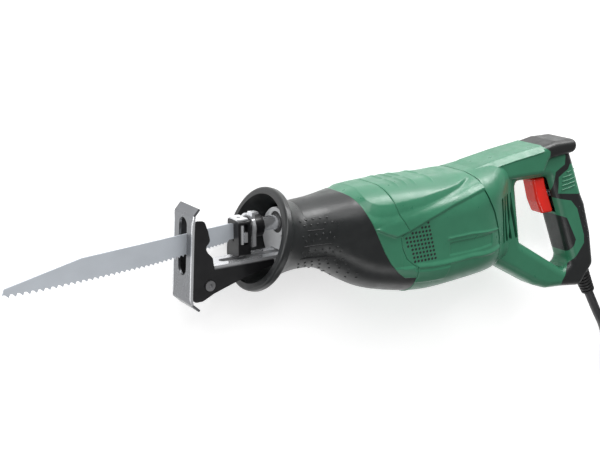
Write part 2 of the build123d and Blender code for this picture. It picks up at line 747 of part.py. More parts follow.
FAN_X = 143.0
FAN_LONG = 6.5
FAN_R = 29.0
FAN_BLADES = 11
with BuildPart() as fan:
    with BuildSketch(cross_plane(FAN_X)):
        with Locations((0, MOTOR_Y)):
            Circle(FAN_R)
            Circle(SHAFT_R, mode=Mode.SUBTRACT)
    extrude(amount=1.6)
    with BuildSketch(cross_plane(FAN_X)):
        with Locations((0, MOTOR_Y)):
            Circle(8.0)
            Circle(SHAFT_R, mode=Mode.SUBTRACT)
            with PolarLocations(20.0, FAN_BLADES):
                Rectangle(16.0, 1.4, rotation=25)
    extrude(amount=FAN_LONG)
fan.part.label = "fan"
export_step(fan.part, "parts/fan.step")

STATOR_HALF = 30.0
with BuildPart() as stator:
    with BuildSketch(cross_plane(STACK_START + 1.0)):
        with Locations((0, MOTOR_Y)):
            RectangleRounded(2 * STATOR_HALF, 2 * STATOR_HALF, 12.0)
            Circle(STACK_R + 0.5, mode=Mode.SUBTRACT)
            RectangleRounded(34.0, 52.0, 6.0, mode=Mode.SUBTRACT)
        with Locations((0, MOTOR_Y + 23.0), (0, MOTOR_Y - 23.0)):
            Rectangle(34.0, 14.0)
        with Locations((0, MOTOR_Y)):
            Circle(STACK_R + 0.5, mode=Mode.SUBTRACT)
    extrude(amount=STACK_END - STACK_START - 2.0)
stator.part.label = "stator"
export_step(stator.part, "parts/stator.step")

with BuildPart() as field_coils:
    for start in (STACK_START - WINDING_LONG, STACK_END - 1.0):
        with BuildSketch(cross_plane(start)):
            with Locations((0, MOTOR_Y)):
                Circle(STACK_R + 9.0)
                Circle(STACK_R + 1.5, mode=Mode.SUBTRACT)
                Rectangle(80.0, 12.0, mode=Mode.SUBTRACT)
        extrude(amount=WINDING_LONG + 1.0)
field_coils.part.label = "field_coils"
export_step(field_coils.part, "parts/field_coils.step")

with BuildPart() as motor_bearings:
    for start in (FRONT_BEARING_X, 220.0):
        with BuildSketch(cross_plane(start)):
            with Locations((0, MOTOR_Y)):
                Circle(BEARING_R)
                Circle(SHAFT_R + RUNNING, mode=Mode.SUBTRACT)
        extrude(amount=BEARING_LONG)
motor_bearings.part.label = "motor_bearings"
export_step(motor_bearings.part, "parts/motor_bearings.step")

# Rear bearing carrier, a bridge across the housing.
with BuildPart() as rear_bridge:
    with BuildSketch(cross_plane(219.0)):
        with Locations((0, MOTOR_Y)):
            Circle(14.0)
            Rectangle(60.0, 10.0)
    extrude(amount=9.0)
    with BuildSketch(cross_plane(219.0)):
        with Locations((0, MOTOR_Y)):
            Circle(BEARING_R)
    extrude(amount=9.0, mode=Mode.SUBTRACT)
rear_bridge.part.label = "rear_bridge"
export_step(rear_bridge.part, "parts/rear_bridge.step")

BRUSH_X = 209.5
BRUSH_GAP = 0.3
BRUSH_HALF = 3.2
BRUSH_LONG = 12.0
with BuildPart() as brushes:
    for side in (1, -1):
        with BuildSketch(side_plane(side * (COMMUTATOR_R + BRUSH_GAP))):
            with Locations((BRUSH_X, MOTOR_Y)):
                Rectangle(2 * BRUSH_HALF, 2 * BRUSH_HALF)
        extrude(amount=side * BRUSH_LONG)
brushes.part.label = "brushes"
export_step(brushes.part, "parts/brushes.step")

with BuildPart() as brush_holders:
    for side in (1, -1):
        with BuildSketch(side_plane(side * (COMMUTATOR_R + 3.0))):
            with Locations((BRUSH_X, MOTOR_Y)):
                RectangleRounded(2 * BRUSH_HALF + 3.2, 2 * BRUSH_HALF + 3.2, 1.0)
                Rectangle(2 * BRUSH_HALF, 2 * BRUSH_HALF, mode=Mode.SUBTRACT)
        extrude(amount=side * 19.0)
brush_holders.part.label = "brush_holders"
export_step(brush_holders.part, "parts/brush_holders.step")

with BuildPart() as brush_springs:
    for side in (1, -1):
        with BuildSketch(side_plane(side * (COMMUTATOR_R + BRUSH_GAP + BRUSH_LONG))):
            with Locations((BRUSH_X, MOTOR_Y)):
                Circle(2.4)
                Circle(1.6, mode=Mode.SUBTRACT)
        extrude(amount=side * 8.0)
brush_springs.part.label = "brush_springs"
export_step(brush_springs.part, "parts/brush_springs.step")

# ---------------------------------------------------------------- blade and its clamp
# Blade side view: back edge from the clamp to the tip, then the line of the tooth tips.
BLADE_BACK = ((-5.0, 3.5), (-24.0, 4.8), (-147.0, -3.2), (-206.4, -16.7))
TOOTH_LINE = ((-208.7, -23.7), (-181.0, -23.6), (-141.0, -21.8), (-93.0, -18.8), (-25.5, -11.0))
TANG_BASE = -8.0
FINE_PITCH = 2.9
COARSE_PITCH = 5.4
TOOTH_RATIO = 0.5


def tooth_line_y(x):
    """Height of the tooth tips at x."""
    for (x0, y0), (x1, y1) in zip(TOOTH_LINE, TOOTH_LINE[1:]):
        if x <= x1:
            return y0 + (y1 - y0) * (x - x0) / (x1 - x0)
    return TOOTH_LINE[-1][1]


def tooth_points():
    """Saw teeth from the tip to the clamp, growing finer towards the clamp."""
    points = []
    x = TOOTH_LINE[0][0]
    end = TOOTH_LINE[-1][0]
    while x < end - FINE_PITCH:
        share = (x - TOOTH_LINE[0][0]) / (end - TOOTH_LINE[0][0])
        pitch = COARSE_PITCH + (FINE_PITCH - COARSE_PITCH) * share
        depth = TOOTH_RATIO * pitch
        points.append((x, tooth_line_y(x)))
        points.append((x + 0.25 * pitch, tooth_line_y(x) + depth))
        points.append((x + 0.55 * pitch, tooth_line_y(x) + 0.9 * depth))
        x += pitch
    return points


with BuildPart() as blade:
    with BuildSketch(side_plane(-BLADE_THICK / 2)):
        with BuildLine():
            Polyline(*BLADE_BACK, *tooth_points(), (-25.5, TANG_BASE - 2.0), (-24.0, TANG_BASE),
                     (-5.0, TANG_BASE), close=True)
        make_face()
    extrude(amount=BLADE_THICK)
blade.part.label = "blade"
export_step(blade.part, "parts/blade.step")

BLADE_SOCKET_END = -4.5
with BuildPart() as clamp_body:
    with BuildSketch(cross_plane(CLAMP_FRONT)):
        with Locations((0, (CLAMP_TOP + CLAMP_BASE) / 2)):
            RectangleRounded(2 * CLAMP_HALF, CLAMP_TOP - CLAMP_BASE, 2.5)
    extrude(amount=11.0)
    with BuildSketch(cross_plane(CLAMP_FRONT + 10.0)):
        Circle(9.0)
    extrude(amount=CLAMP_REAR - CLAMP_FRONT - 10.0)
    with BuildSketch(cross_plane(PLUNGER_FRONT)):
        Circle(PLUNGER_R)
    extrude(amount=20.0, mode=Mode.SUBTRACT)
    with BuildSketch(cross_plane(CLAMP_FRONT)):
        with Locations((0, (3.5 + TANG_BASE) / 2 - 0.4)):
            Rectangle(BLADE_THICK + 0.3, 3.5 - TANG_BASE + 3.4)
    extrude(amount=BLADE_SOCKET_END - CLAMP_FRONT, mode=Mode.SUBTRACT)
    with BuildSketch(side_plane(CLAMP_HALF - 4.0)):
        with Locations((CLAMP_FRONT + 5.5, -4.0)):
            RectangleRounded(7.0, 17.0, 1.2)
    extrude(amount=6.0, mode=Mode.SUBTRACT)
clamp_body.part.label = "clamp_body"
export_step(clamp_body.part, "parts/clamp_body.step")

with BuildPart() as clamp_cover:
    with BuildSketch(level_plane(CLAMP_TOP)):
        with Locations((CLAMP_FRONT + 5.0, 0)):
            RectangleRounded(9.6, 2 * CLAMP_HALF - 1.0, 2.0)
            Circle(1.5, mode=Mode.SUBTRACT)
    extrude(amount=1.2)
clamp_cover.part.label = "clamp_cover"
export_step(clamp_cover.part, "parts/clamp_cover.step")

with BuildPart() as clamp_pin:
    with BuildSketch(level_plane(-11.8)):
        with Locations((CLAMP_FRONT + 4.3, -CLAMP_HALF + 2.0)):
            Circle(1.7)
    extrude(amount=15.6)
clamp_pin.part.label = "clamp_pin"
export_step(clamp_pin.part, "parts/clamp_pin.step")

with BuildPart() as clamp_wedge:
    with BuildSketch(side_plane(CLAMP_HALF - 3.9)):
        with Locations((CLAMP_FRONT + 7.4, -6.5)):
            Rectangle(2.6, 8.0)
    extrude(amount=3.6)
clamp_wedge.part.label = "clamp_wedge"
export_step(clamp_wedge.part, "parts/clamp_wedge.step")

# Release ring that turns on the clamp's round end, with a bent finger tab.
RING_X = -7.6
RING_LONG = 2.6
RING_R = 11.2
with BuildPart() as release_ring:
    with BuildSketch(cross_plane(RING_X)):
        Circle(RING_R)
        with Locations((-6.0, -8.0)):
            RectangleRounded(9.0, 14.0, 2.0)
        with Locations((-5.0, 10.0)):
            RectangleRounded(7.0, 6.0, 1.5)
        Circle(9.0 + 0.1, mode=Mode.SUBTRACT)
    extrude(amount=RING_LONG)
    with BuildSketch(cross_plane(RING_X)):
        with Locations((-5.0, 12.2)):
            Rectangle(7.0, 1.6)
    extrude(amount=6.0)
release_ring.part.label = "release_ring"
export_step(release_ring.part, "parts/release_ring.step")

# ---------------------------------------------------------------- shoe and its support
SHOE_OUTLINE = (
    (-57.0, 24.2), (-62.4, 18.4), (-66.2, -50.2), (-58.9, -57.0),
)
EAR_OUTLINE = (
    (-61.0, 15.0), (-53.0, 13.6), (-50.4, 5.5), (-48.8, -1.0), (-53.0, -7.6), (-50.8, -11.9), (-47.4, -15.7),
    (-44.5, -30.0), (-43.0, -38.0), (-46.0, -45.0), (-57.0, -49.6), (-64.5, -49.6),
)
SHOE_SLOT = (13.0, 46.0)
SHOE_SLOT_Y = -7.0
RIVET_R = 3.0
with BuildPart() as shoe:
    with BuildSketch(side_plane(0)):
        with BuildLine():
            FilletPolyline(*SHOE_OUTLINE, radius=3.0)
        trace(line_width=SHOE_THICK)
    extrude(amount=SHOE_HALF, both=True)
    with BuildSketch(cross_plane(-72.0)):
        with Locations((0, SHOE_SLOT_Y)):
            SlotOverall(SHOE_SLOT[1], SHOE_SLOT[0], rotation=90)
    extrude(amount=18.0, mode=Mode.SUBTRACT)
    for side in (1, -1):
        with BuildSketch(side_plane(side * SHOE_HALF)):
            with BuildLine():
                Polyline(*EAR_OUTLINE, close=True)
            make_face()
            with Locations((SHOE_PIVOT_X, SHOE_PIVOT_Y)):
                Circle(RIVET_R + RUNNING, mode=Mode.SUBTRACT)
        extrude(amount=-side * (SHOE_THICK - 0.4))
shoe.part.label = "shoe"
export_step(shoe.part, "parts/shoe.step")

BRACKET_OUTLINE = (
    (-44.0, -26.6), (10.0, -26.6), (10.0, -31.0), (-14.0, -35.6), (-22.0, -38.5), (-48.0, -46.5),
    (-54.5, -44.0), (-57.0, -38.0), (-54.0, -31.0),
)
BRACKET_HALF = 13.0
BRACKET_WEB = 1.6
with BuildPart() as shoe_bracket:
    with BuildSketch(level_plane(BAR_TOP - BAR_THICK)):
        with Locations((-17.0, 0)):
            Rectangle(54.0, 2 * BRACKET_HALF)
            SlotOverall(38.0, 7.5, mode=Mode.SUBTRACT)
    extrude(amount=-BRACKET_WEB)
    for side in (1, -1):
        with BuildSketch(side_plane(side * BRACKET_HALF)):
            with BuildLine():
                Polyline(*BRACKET_OUTLINE, close=True)
            make_face()
            with Locations((SHOE_PIVOT_X, SHOE_PIVOT_Y)):
                Circle(RIVET_R, mode=Mode.SUBTRACT)
        extrude(amount=-side * BRACKET_THICK)
shoe_bracket.part.label = "shoe_bracket"
export_step(shoe_bracket.part, "parts/shoe_bracket.step")

with BuildPart() as shoe_rivet:
    with BuildSketch(side_plane(0)):
        with Locations((SHOE_PIVOT_X, SHOE_PIVOT_Y)):
            Circle(RIVET_R)
    extrude(amount=SHOE_HALF + GAP, both=True)
    for side in (1, -1):
        with BuildSketch(side_plane(side * (SHOE_HALF + GAP))):
            with Locations((SHOE_PIVOT_X, SHOE_PIVOT_Y)):
                Circle(4.2)
                Circle(1.6, mode=Mode.SUBTRACT)
        extrude(amount=side * 1.4)
shoe_rivet.part.label = "shoe_rivet"
export_step(shoe_rivet.part, "parts/shoe_rivet.step")

BAR_FRONT = -44.0
BAR_REAR = 60.0
with BuildPart() as support_bar:
    with BuildSketch(level_plane(BAR_TOP)):
        with Locations(((BAR_FRONT + BAR_REAR) / 2, 0)):
            RectangleRounded(BAR_REAR - BAR_FRONT, 2 * BAR_HALF, 2.0)
        with Locations((10.5, 0)):
            SlotOverall(87.0, 7.5, mode=Mode.SUBTRACT)
    extrude(amount=-BAR_THICK)
support_bar.part.label = "support_bar"
export_step(support_bar.part, "parts/support_bar.step")

with BuildPart() as support_screws:
    with BuildSketch(level_plane(GUIDE_BASE)):
        with Locations(*[(x, 0) for x in SUPPORT_SCREWS_X]):
            Circle(SUPPORT_SCREW_R)
    extrude(amount=13.5)
    with BuildSketch(level_plane(GUIDE_BASE)):
        with Locations(*[(x, 0) for x in SUPPORT_SCREWS_X]):
            Circle(4.2)
    extrude(amount=-3.0)
    with BuildSketch(level_plane(GUIDE_BASE - 3.0)):
        with Locations(*[(x, 0) for x in SUPPORT_SCREWS_X]):
            RegularPolygon(2.2, 6)
    extrude(amount=2.0, mode=Mode.SUBTRACT)
support_screws.part.label = "support_screws"
export_step(support_screws.part, "parts/support_screws.step")

# ---------------------------------------------------------------- trigger and switch
TRIGGER_ROUND = 3.0
TRIGGER_OUTLINE = (
    (296.5, TRIGGER_TOP), (311.0, TRIGGER_TOP), (313.5, -5.0), (326.0, -32.5), (311.0, -32.5), (304.0, -20.0),
)
with BuildPart() as trigger:
    with BuildSketch(side_plane(0)):
        with BuildLine():
            FilletPolyline(*TRIGGER_OUTLINE, radius=(2.5, 1.0, 3.0, 1.5, 3.0, 12.0), close=True)
        make_face()
    extrude(amount=TRIGGER_HALF, both=True)
    for side in (0, -1):
        rim = trigger.edges().group_by(Axis.Z)[side]
        fillet(rim.filter_by_position(Axis.X, DATUM_X + 290, DATUM_X + 309), radius=TRIGGER_ROUND)
trigger.part.label = "trigger"
export_step(trigger.part, "parts/trigger.step")

SPRING_Y = -15.0
SPRING_R = 2.7
SPRING_WIRE_R = 0.45
with BuildPart() as trigger_spring:
    with BuildLine():
        coils = Helix(pitch=2.4, height=14.4, radius=SPRING_R,
                      center=(DATUM_X + 319.2, DATUM_Y + SPRING_Y, MID_Z), direction=(1, 0, 0))
    with BuildSketch(Plane(origin=coils @ 0, z_dir=coils % 0)):
        Circle(SPRING_WIRE_R)
    sweep(is_frenet=True)
trigger_spring.part.label = "trigger_spring"
export_step(trigger_spring.part, "parts/trigger_spring.step")

# Switch behind the trigger, with a pocket that the trigger spring works in.
with BuildPart() as switch_body:
    with BuildSketch(side_plane(0)):
        with BuildLine():
            FilletPolyline((320.5, 17.5), (333.5, 12.0), (343.0, -30.0), (335.5, -32.0), (333.0, -12.0),
                           (320.5, 6.0), radius=1.0, close=True)
        make_face()
    extrude(amount=9.0, both=True)
    with BuildSketch(cross_plane(330.0)):
        with Locations((0, SPRING_Y)):
            Circle(SPRING_R + SPRING_WIRE_R + GAP)
    extrude(amount=10.5, mode=Mode.SUBTRACT)
switch_body.part.label = "switch_body"
export_step(switch_body.part, "parts/switch_body.step")

# ---------------------------------------------------------------- cord inside the handle
INNER_CORD = 20.0
CLAMP_AT = -10.0
CLAMP_SCREW_SIDE = 6.2
with BuildPart() as cord_inner:
    with BuildSketch(exit_plane(0)):
        Circle(CORD_R)
    extrude(amount=-INNER_CORD)
cord_inner.part.label = "cord_inner"
export_step(cord_inner.part, "parts/cord_inner.step")

with BuildPart() as cord_clamp:
    with BuildSketch(exit_plane(CLAMP_AT - 3.5)):
        with Locations((CORD_R + 1.5, 0)):
            RectangleRounded(3.0, 15.4, 1.0)
    extrude(amount=7.0)
cord_clamp.part.label = "cord_clamp"

with BuildPart() as leads:
    for w in (-2.0, 2.0):
        with BuildLine():
            route = FilletPolyline(tool_point(359.2, -72.6, w), tool_point(353.0, -60.0, w),
                                   tool_point(341.0, -42.0, w), tool_point(340.0, -31.5, w), radius=8.0)
        with BuildSketch(Plane(origin=route @ 0, z_dir=route % 0)):
            Circle(1.2)
        sweep()
leads.part.label = "leads"
export_step(leads.part, "parts/leads.step")
export_step(cord_clamp.part, "parts/cord_clamp.step")

with BuildPart() as cord_clamp_screws:
    for side in (1, -1):
        with BuildSketch(exit_plane(CLAMP_AT)):
            with Locations((-0.5, side * CLAMP_SCREW_SIDE)):
                Rectangle(9.0, 2.4)
        extrude(amount=1.2, both=True)
cord_clamp_screws.part.label = "cord_clamp_screws"
export_step(cord_clamp_screws.part, "parts/cord_clamp_screws.step")

# ---------------------------------------------------------------- strain relief, cord, coil and plug
RIB_COUNT = 7
RIB_PITCH = 3.9
RIB_START = 12.5
BOOT_LONG = 38.6
with BuildPart() as strain_relief:
    with BuildSketch(exit_plane(0)):
        Circle(EXIT_HOLE_R)
    with BuildSketch(exit_plane(BOOT_LONG)):
        Circle(CORD_R + 0.8)
    loft()
    for rib in range(RIB_COUNT):
        with BuildSketch(exit_plane(RIB_START + rib * RIB_PITCH)):
            Circle(8.4 - 0.28 * rib)
        extrude(amount=2.3)
strain_relief.part.label = "strain_relief"
export_step(strain_relief.part, "parts/strain_relief.step")

# Hand-laid route of the cord: from the strain relief down to the bench and into the coil.
BENCH_CORD_Z = CORD_R + 0.5
COIL_X = 550.0
COIL_Y = -150.0
COIL_Z = COIL_TALL / 2 + 1.0
CORD_ROUTE = (
    tuple(exit_plane(BOOT_LONG).origin),
    tuple(exit_plane(BOOT_LONG + 26.0).origin),
    (DATUM_X + 424.0, DATUM_Y - 172.0, 36.0),
    (DATUM_X + 450.0, DATUM_Y - 198.0, 17.0),
    (DATUM_X + 480.0, DATUM_Y - 215.0, BENCH_CORD_Z),
    (DATUM_X + 512.0, DATUM_Y - 219.0, BENCH_CORD_Z),
    (DATUM_X + 535.0, DATUM_Y - 216.5, BENCH_CORD_Z + 0.5),
)
TAIL_ROUTE = (
    (DATUM_X + 617.0, DATUM_Y - 152.0, 14.0),
    (DATUM_X + 623.0, DATUM_Y - 124.0, 13.5),
    (DATUM_X + 623.0, DATUM_Y - 98.0, 13.5),
)


def bend_radii(route):
    """Radius of each bend: 0.45 of the shorter run over the tangent of half the turn."""
    points = [Vector(*p) for p in route]
    radii = []
    for before, here, after in zip(points, points[1:], points[2:]):
        run_in = here - before
        run_out = after - here
        turn = radians(run_in.get_angle(run_out))
        radii.append(0.45 * min(run_in.length, run_out.length) / tan(turn / 2))
    return radii


def report_tube(name, tube, path, route):
    """Print the bends of a cord tube and its volume against section times length."""
    ideal = pi * CORD_R ** 2 * path.length
    print(name, "radii", [round(r, 1) for r in bend_radii(route)], "length", round(path.length, 1),
          "volume ratio", round(tube.volume / ideal, 4))


with BuildPart() as cord:
    with BuildLine():
        cord_path = FilletPolyline(*CORD_ROUTE, radius=bend_radii(CORD_ROUTE))
    with BuildSketch(Plane(origin=cord_path @ 0, z_dir=cord_path % 0)):
        Circle(CORD_R)
    sweep()
report_tube("cord", cord.part, cord_path, CORD_ROUTE)
cord.part.label = "cord"
export_step(cord.part, "parts/cord.step")

with BuildPart() as cord_tail:
    with BuildLine():
        tail_path = FilletPolyline(*TAIL_ROUTE, radius=bend_radii(TAIL_ROUTE))
    with BuildSketch(Plane(origin=tail_path @ 0, z_dir=tail_path % 0)):
        Circle(CORD_R)
    sweep()
report_tube("cord_tail", cord_tail.part, tail_path, TAIL_ROUTE)
cord_tail.part.label = "cord_tail"
export_step(cord_tail.part, "parts/cord_tail.step")

COIL_MIDDLE = (DATUM_X + COIL_X, DATUM_Y + COIL_Y, COIL_Z)
with BuildPart() as cord_coil:
    with BuildSketch(Plane(origin=COIL_MIDDLE, x_dir=(1, 0, 0), z_dir=(0, 1, 0))):
        with Locations(((COIL_INNER_R + COIL_OUTER_R) / 2, 0)):
            RectangleRounded(COIL_OUTER_R - COIL_INNER_R, COIL_TALL, 8.0)
    revolve(axis=Axis((DATUM_X + COIL_X, DATUM_Y + COIL_Y, 0), (0, 0, 1)))
cord_coil.part.label = "cord_coil"
export_step(cord_coil.part, "parts/cord_coil.step")

TIE_THICK = 0.8
TIE_ANGLE = radians(100.0)
tie_plane = Plane(origin=COIL_MIDDLE, x_dir=(cos(TIE_ANGLE), sin(TIE_ANGLE), 0),
                  z_dir=(-sin(TIE_ANGLE), cos(TIE_ANGLE), 0))
with BuildPart() as coil_tie:
    with BuildSketch(tie_plane):
        with Locations(((COIL_INNER_R + COIL_OUTER_R) / 2, 0)):
            RectangleRounded(COIL_OUTER_R - COIL_INNER_R + 2 * TIE_THICK, COIL_TALL + 2 * TIE_THICK, 8.8)
            RectangleRounded(COIL_OUTER_R - COIL_INNER_R, COIL_TALL, 8.0, mode=Mode.SUBTRACT)
    revolve(axis=Axis((DATUM_X + COIL_X, DATUM_Y + COIL_Y, 0), (0, 0, 1)), revolution_arc=14)
coil_tie.part.label = "coil_tie"
export_step(coil_tie.part, "parts/coil_tie.step")

PLUG_LONG = 42.0
PLUG_X = TAIL_ROUTE[-1][0]
PLUG_Y = TAIL_ROUTE[-1][1]
PLUG_Z = TAIL_ROUTE[-1][2]


def plug_plane(along):
    """Plane across the plug; sketch axes lie along the bench and downwards."""
    return Plane(origin=(PLUG_X, PLUG_Y + along, PLUG_Z), x_dir=(1, 0, 0), z_dir=(0, 1, 0))


with BuildPart() as plug_body:
    with BuildSketch(plug_plane(0)):
        RectangleRounded(13.0, 13.0, 6.0)
    with BuildSketch(plug_plane(0.45 * PLUG_LONG)):
        RectangleRounded(24.0, 19.0, 8.0)
    with BuildSketch(plug_plane(0.8 * PLUG_LONG)):
        RectangleRounded(35.0, 25.0, 10.0)
    with BuildSketch(plug_plane(PLUG_LONG)):
        RectangleRounded(35.5, 25.5, 10.0)
    loft()
plug_body.part.label = "plug_body"
export_step(plug_body.part, "parts/plug_body.step")

with BuildPart() as plug_pins:
    with BuildSketch(plug_plane(PLUG_LONG)):
        with Locations((-PIN_SPACING / 2, 0), (PIN_SPACING / 2, 0)):
            Circle(PIN_R)
    extrude(amount=PIN_LENGTH)
    chamfer(plug_pins.edges().group_by(Axis.Y)[-1], length=0.6)
plug_pins.part.label = "plug_pins"
export_step(plug_pins.part, "parts/plug_pins.step")
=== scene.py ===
import json
import math
import bpy
import bmesh
import numpy as np
from mathutils import Matrix, Vector
from mathutils.bvhtree import BVHTree


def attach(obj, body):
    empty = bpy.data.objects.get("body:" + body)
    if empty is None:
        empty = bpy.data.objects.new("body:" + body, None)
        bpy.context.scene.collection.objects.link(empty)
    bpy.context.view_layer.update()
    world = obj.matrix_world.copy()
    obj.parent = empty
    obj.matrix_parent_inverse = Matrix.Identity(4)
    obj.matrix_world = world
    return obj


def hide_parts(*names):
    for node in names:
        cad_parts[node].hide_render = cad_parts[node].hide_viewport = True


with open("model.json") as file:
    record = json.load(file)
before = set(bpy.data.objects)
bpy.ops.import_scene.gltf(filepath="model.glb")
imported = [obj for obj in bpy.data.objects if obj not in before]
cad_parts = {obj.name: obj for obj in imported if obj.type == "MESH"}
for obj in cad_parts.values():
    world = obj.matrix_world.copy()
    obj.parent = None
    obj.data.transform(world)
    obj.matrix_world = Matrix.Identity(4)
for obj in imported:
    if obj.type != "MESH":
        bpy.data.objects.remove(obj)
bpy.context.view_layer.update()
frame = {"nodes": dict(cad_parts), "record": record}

nodes = frame["nodes"]

# Tool coordinates in millimetres: x rearward from the flange, y towards the top, w towards the left side.
DATUM = Vector((-91.5, 43.0, 42.5))


def tool(x, y, w=0.0):
    """Row-frame point, in metres, of a tool position in millimetres."""
    return (Vector((x, y, w)) + DATUM) / 1000


def link(obj):
    bpy.context.scene.collection.objects.link(obj)
    return obj


# ---------------------------------------------------------------- camera, as the photograph was taken
VIEW_RIGHT = Vector((0.83867, 0.0, 0.54464))
VIEW_UP = Vector((0.14096, 0.96593, -0.21706))
VIEW_BACK = Vector((-0.52608, 0.25882, 0.81009))
camera = link(bpy.data.objects.new("camera", bpy.data.cameras.new("camera")))
bpy.context.scene.camera = camera
camera.matrix_world = Matrix((VIEW_RIGHT, VIEW_UP, VIEW_BACK)).transposed().to_4x4()
camera.location = tool(-442.05, 232.63, 746.91)
camera.data.sensor_width = 36.0
camera.data.lens = 67.5
camera.data.clip_start = 0.05
camera.data.clip_end = 20.0

# ---------------------------------------------------------------- cord
CORD_DIAMETER = 0.009
EXIT = (369.6, -90.6)
EXIT_SLOPE = (0.5, -0.8660254)
BOOT_LONG = 38.6


def on_exit(along):
    """Point on the cord's way out of the handle."""
    return tool(EXIT[0] + EXIT_SLOPE[0] * along, EXIT[1] + EXIT_SLOPE[1] * along)


def on_bench(x, y, height):
    """Point over the bench, its height in millimetres."""
    return tool(x, y, height - DATUM.z)


COIL_MIDDLE = (550.0, -150.0)
LOWER_LAYER, UPPER_LAYER = 5.2, 14.3
OUTER_TURN, INNER_TURN = 66.3, 33.75
LOWER_TURNS, UPPER_TURNS = 3.5, 3.75
TURN_PITCH = (OUTER_TURN - INNER_TURN) / LOWER_TURNS
TURN_POINTS = 16
route = [
    on_exit(BOOT_LONG),
    on_exit(BOOT_LONG + 26.0),
    tool(424.0, -172.0, -6.5),
    tool(450.0, -198.0, -25.5),
    on_bench(480.0, -215.0, 5.0),
    on_bench(512.0, -219.0, 5.0),
    on_bench(535.0, -217.5, 5.0),
]
# The coil: turns laid inwards along the bench, then outwards on top of them.
for k in range(int((LOWER_TURNS + UPPER_TURNS) * TURN_POINTS) + 1):
    turn = k / TURN_POINTS
    angle = 1.5 * math.pi + 2 * math.pi * turn
    radius = INNER_TURN + TURN_PITCH * abs(turn - LOWER_TURNS)
    climb = min(1.0, max(0.0, (turn - LOWER_TURNS + 0.35) / 0.7))
    height = LOWER_LAYER + (UPPER_LAYER - LOWER_LAYER) * climb * climb * (3 - 2 * climb)
    route.append(on_bench(COIL_MIDDLE[0] + radius * math.cos(angle),
                          COIL_MIDDLE[1] + radius * math.sin(angle), height))
route += [on_bench(622.0, -126.0, 14.0), on_bench(623.0, -112.0, 13.5), on_bench(623.0, -98.0, 13.5)]


def nurbs(name, points, radius, resolution=8):
    """Round smooth line through a route's control points, with a bevel of the given radius."""
    data = bpy.data.curves.new(name, "CURVE")
    data.dimensions = "3D"
    spline = data.splines.new("NURBS")
    spline.points.add(len(points) - 1)
    for point, co in zip(spline.points, points):
        point.co = (*co, 1.0)
        point.radius = radius
    spline.order_u = 3
    spline.use_endpoint_u = True
    spline.resolution_u = resolution
    data.bevel_depth = 1.0
    data.bevel_resolution = 6
    data.use_fill_caps = True
    return link(bpy.data.objects.new(name, data))


cord_line = nurbs("mains_cord", route, CORD_DIAMETER / 2)
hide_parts("cord", "cord_tail", "cord_coil")
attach(cord_line, "housing")

# ---------------------------------------------------------------- floor and light
FLOOR_SIZE = 6.0
floor_mesh = bpy.data.meshes.new("floor")
floor_mesh.from_pydata([(-FLOOR_SIZE, -FLOOR_SIZE, 0), (FLOOR_SIZE, -FLOOR_SIZE, 0),
                        (FLOOR_SIZE, FLOOR_SIZE, 0), (-FLOOR_SIZE, FLOOR_SIZE, 0)], [], [(0, 1, 2, 3)])
floor = link(bpy.data.objects.new("floor", floor_mesh))


# Soft boxes: name, place, what it is aimed at, width and height, power. Places and sizes are in metres.
SOFT_BOXES = (
    ("key", (-0.35, 0.95, 0.95), (0.0, 0.0, 0.0), (1.3, 0.5), 8.5),
    ("front", (-1.2, 0.25, 0.6), (-0.1, 0.0, 0.04), (0.6, 0.6), 5.0),
    ("fill", (0.1, -0.9, 1.0), (0.0, 0.0, 0.0), (1.2, 0.35), 3.0),
    ("rim", (0.65, 1.05, 0.35), (0.05, 0.0, 0.05), (1.0, 0.35), 15.0),
)
for lamp_name, place, aim, size, power in SOFT_BOXES:
    lamp_data = bpy.data.lights.new(lamp_name, "AREA")
    lamp_data.shape = "RECTANGLE"
    lamp_data.size, lamp_data.size_y = size
    lamp_data.energy = power
    lamp = link(bpy.data.objects.new(lamp_name, lamp_data))
    lamp.location = place
    lamp.rotation_euler = (Vector(aim) - Vector(place)).to_track_quat("-Z", "Y").to_euler()

WORLD_LIGHT = 0.24
world = bpy.data.worlds.new("studio")
bpy.context.scene.world = world
world.use_nodes = True
background = world.node_tree.nodes["Background"]
background.inputs["Color"].default_value = (1.0, 1.0, 1.0, 1.0)
background.inputs["Strength"].default_value = WORLD_LIGHT
bpy.context.scene.view_settings.view_transform = "Standard"


# ---------------------------------------------------------------- materials
TONE_PATCH = 30.0  # size of the patches of lighter and darker tone, in millimetres


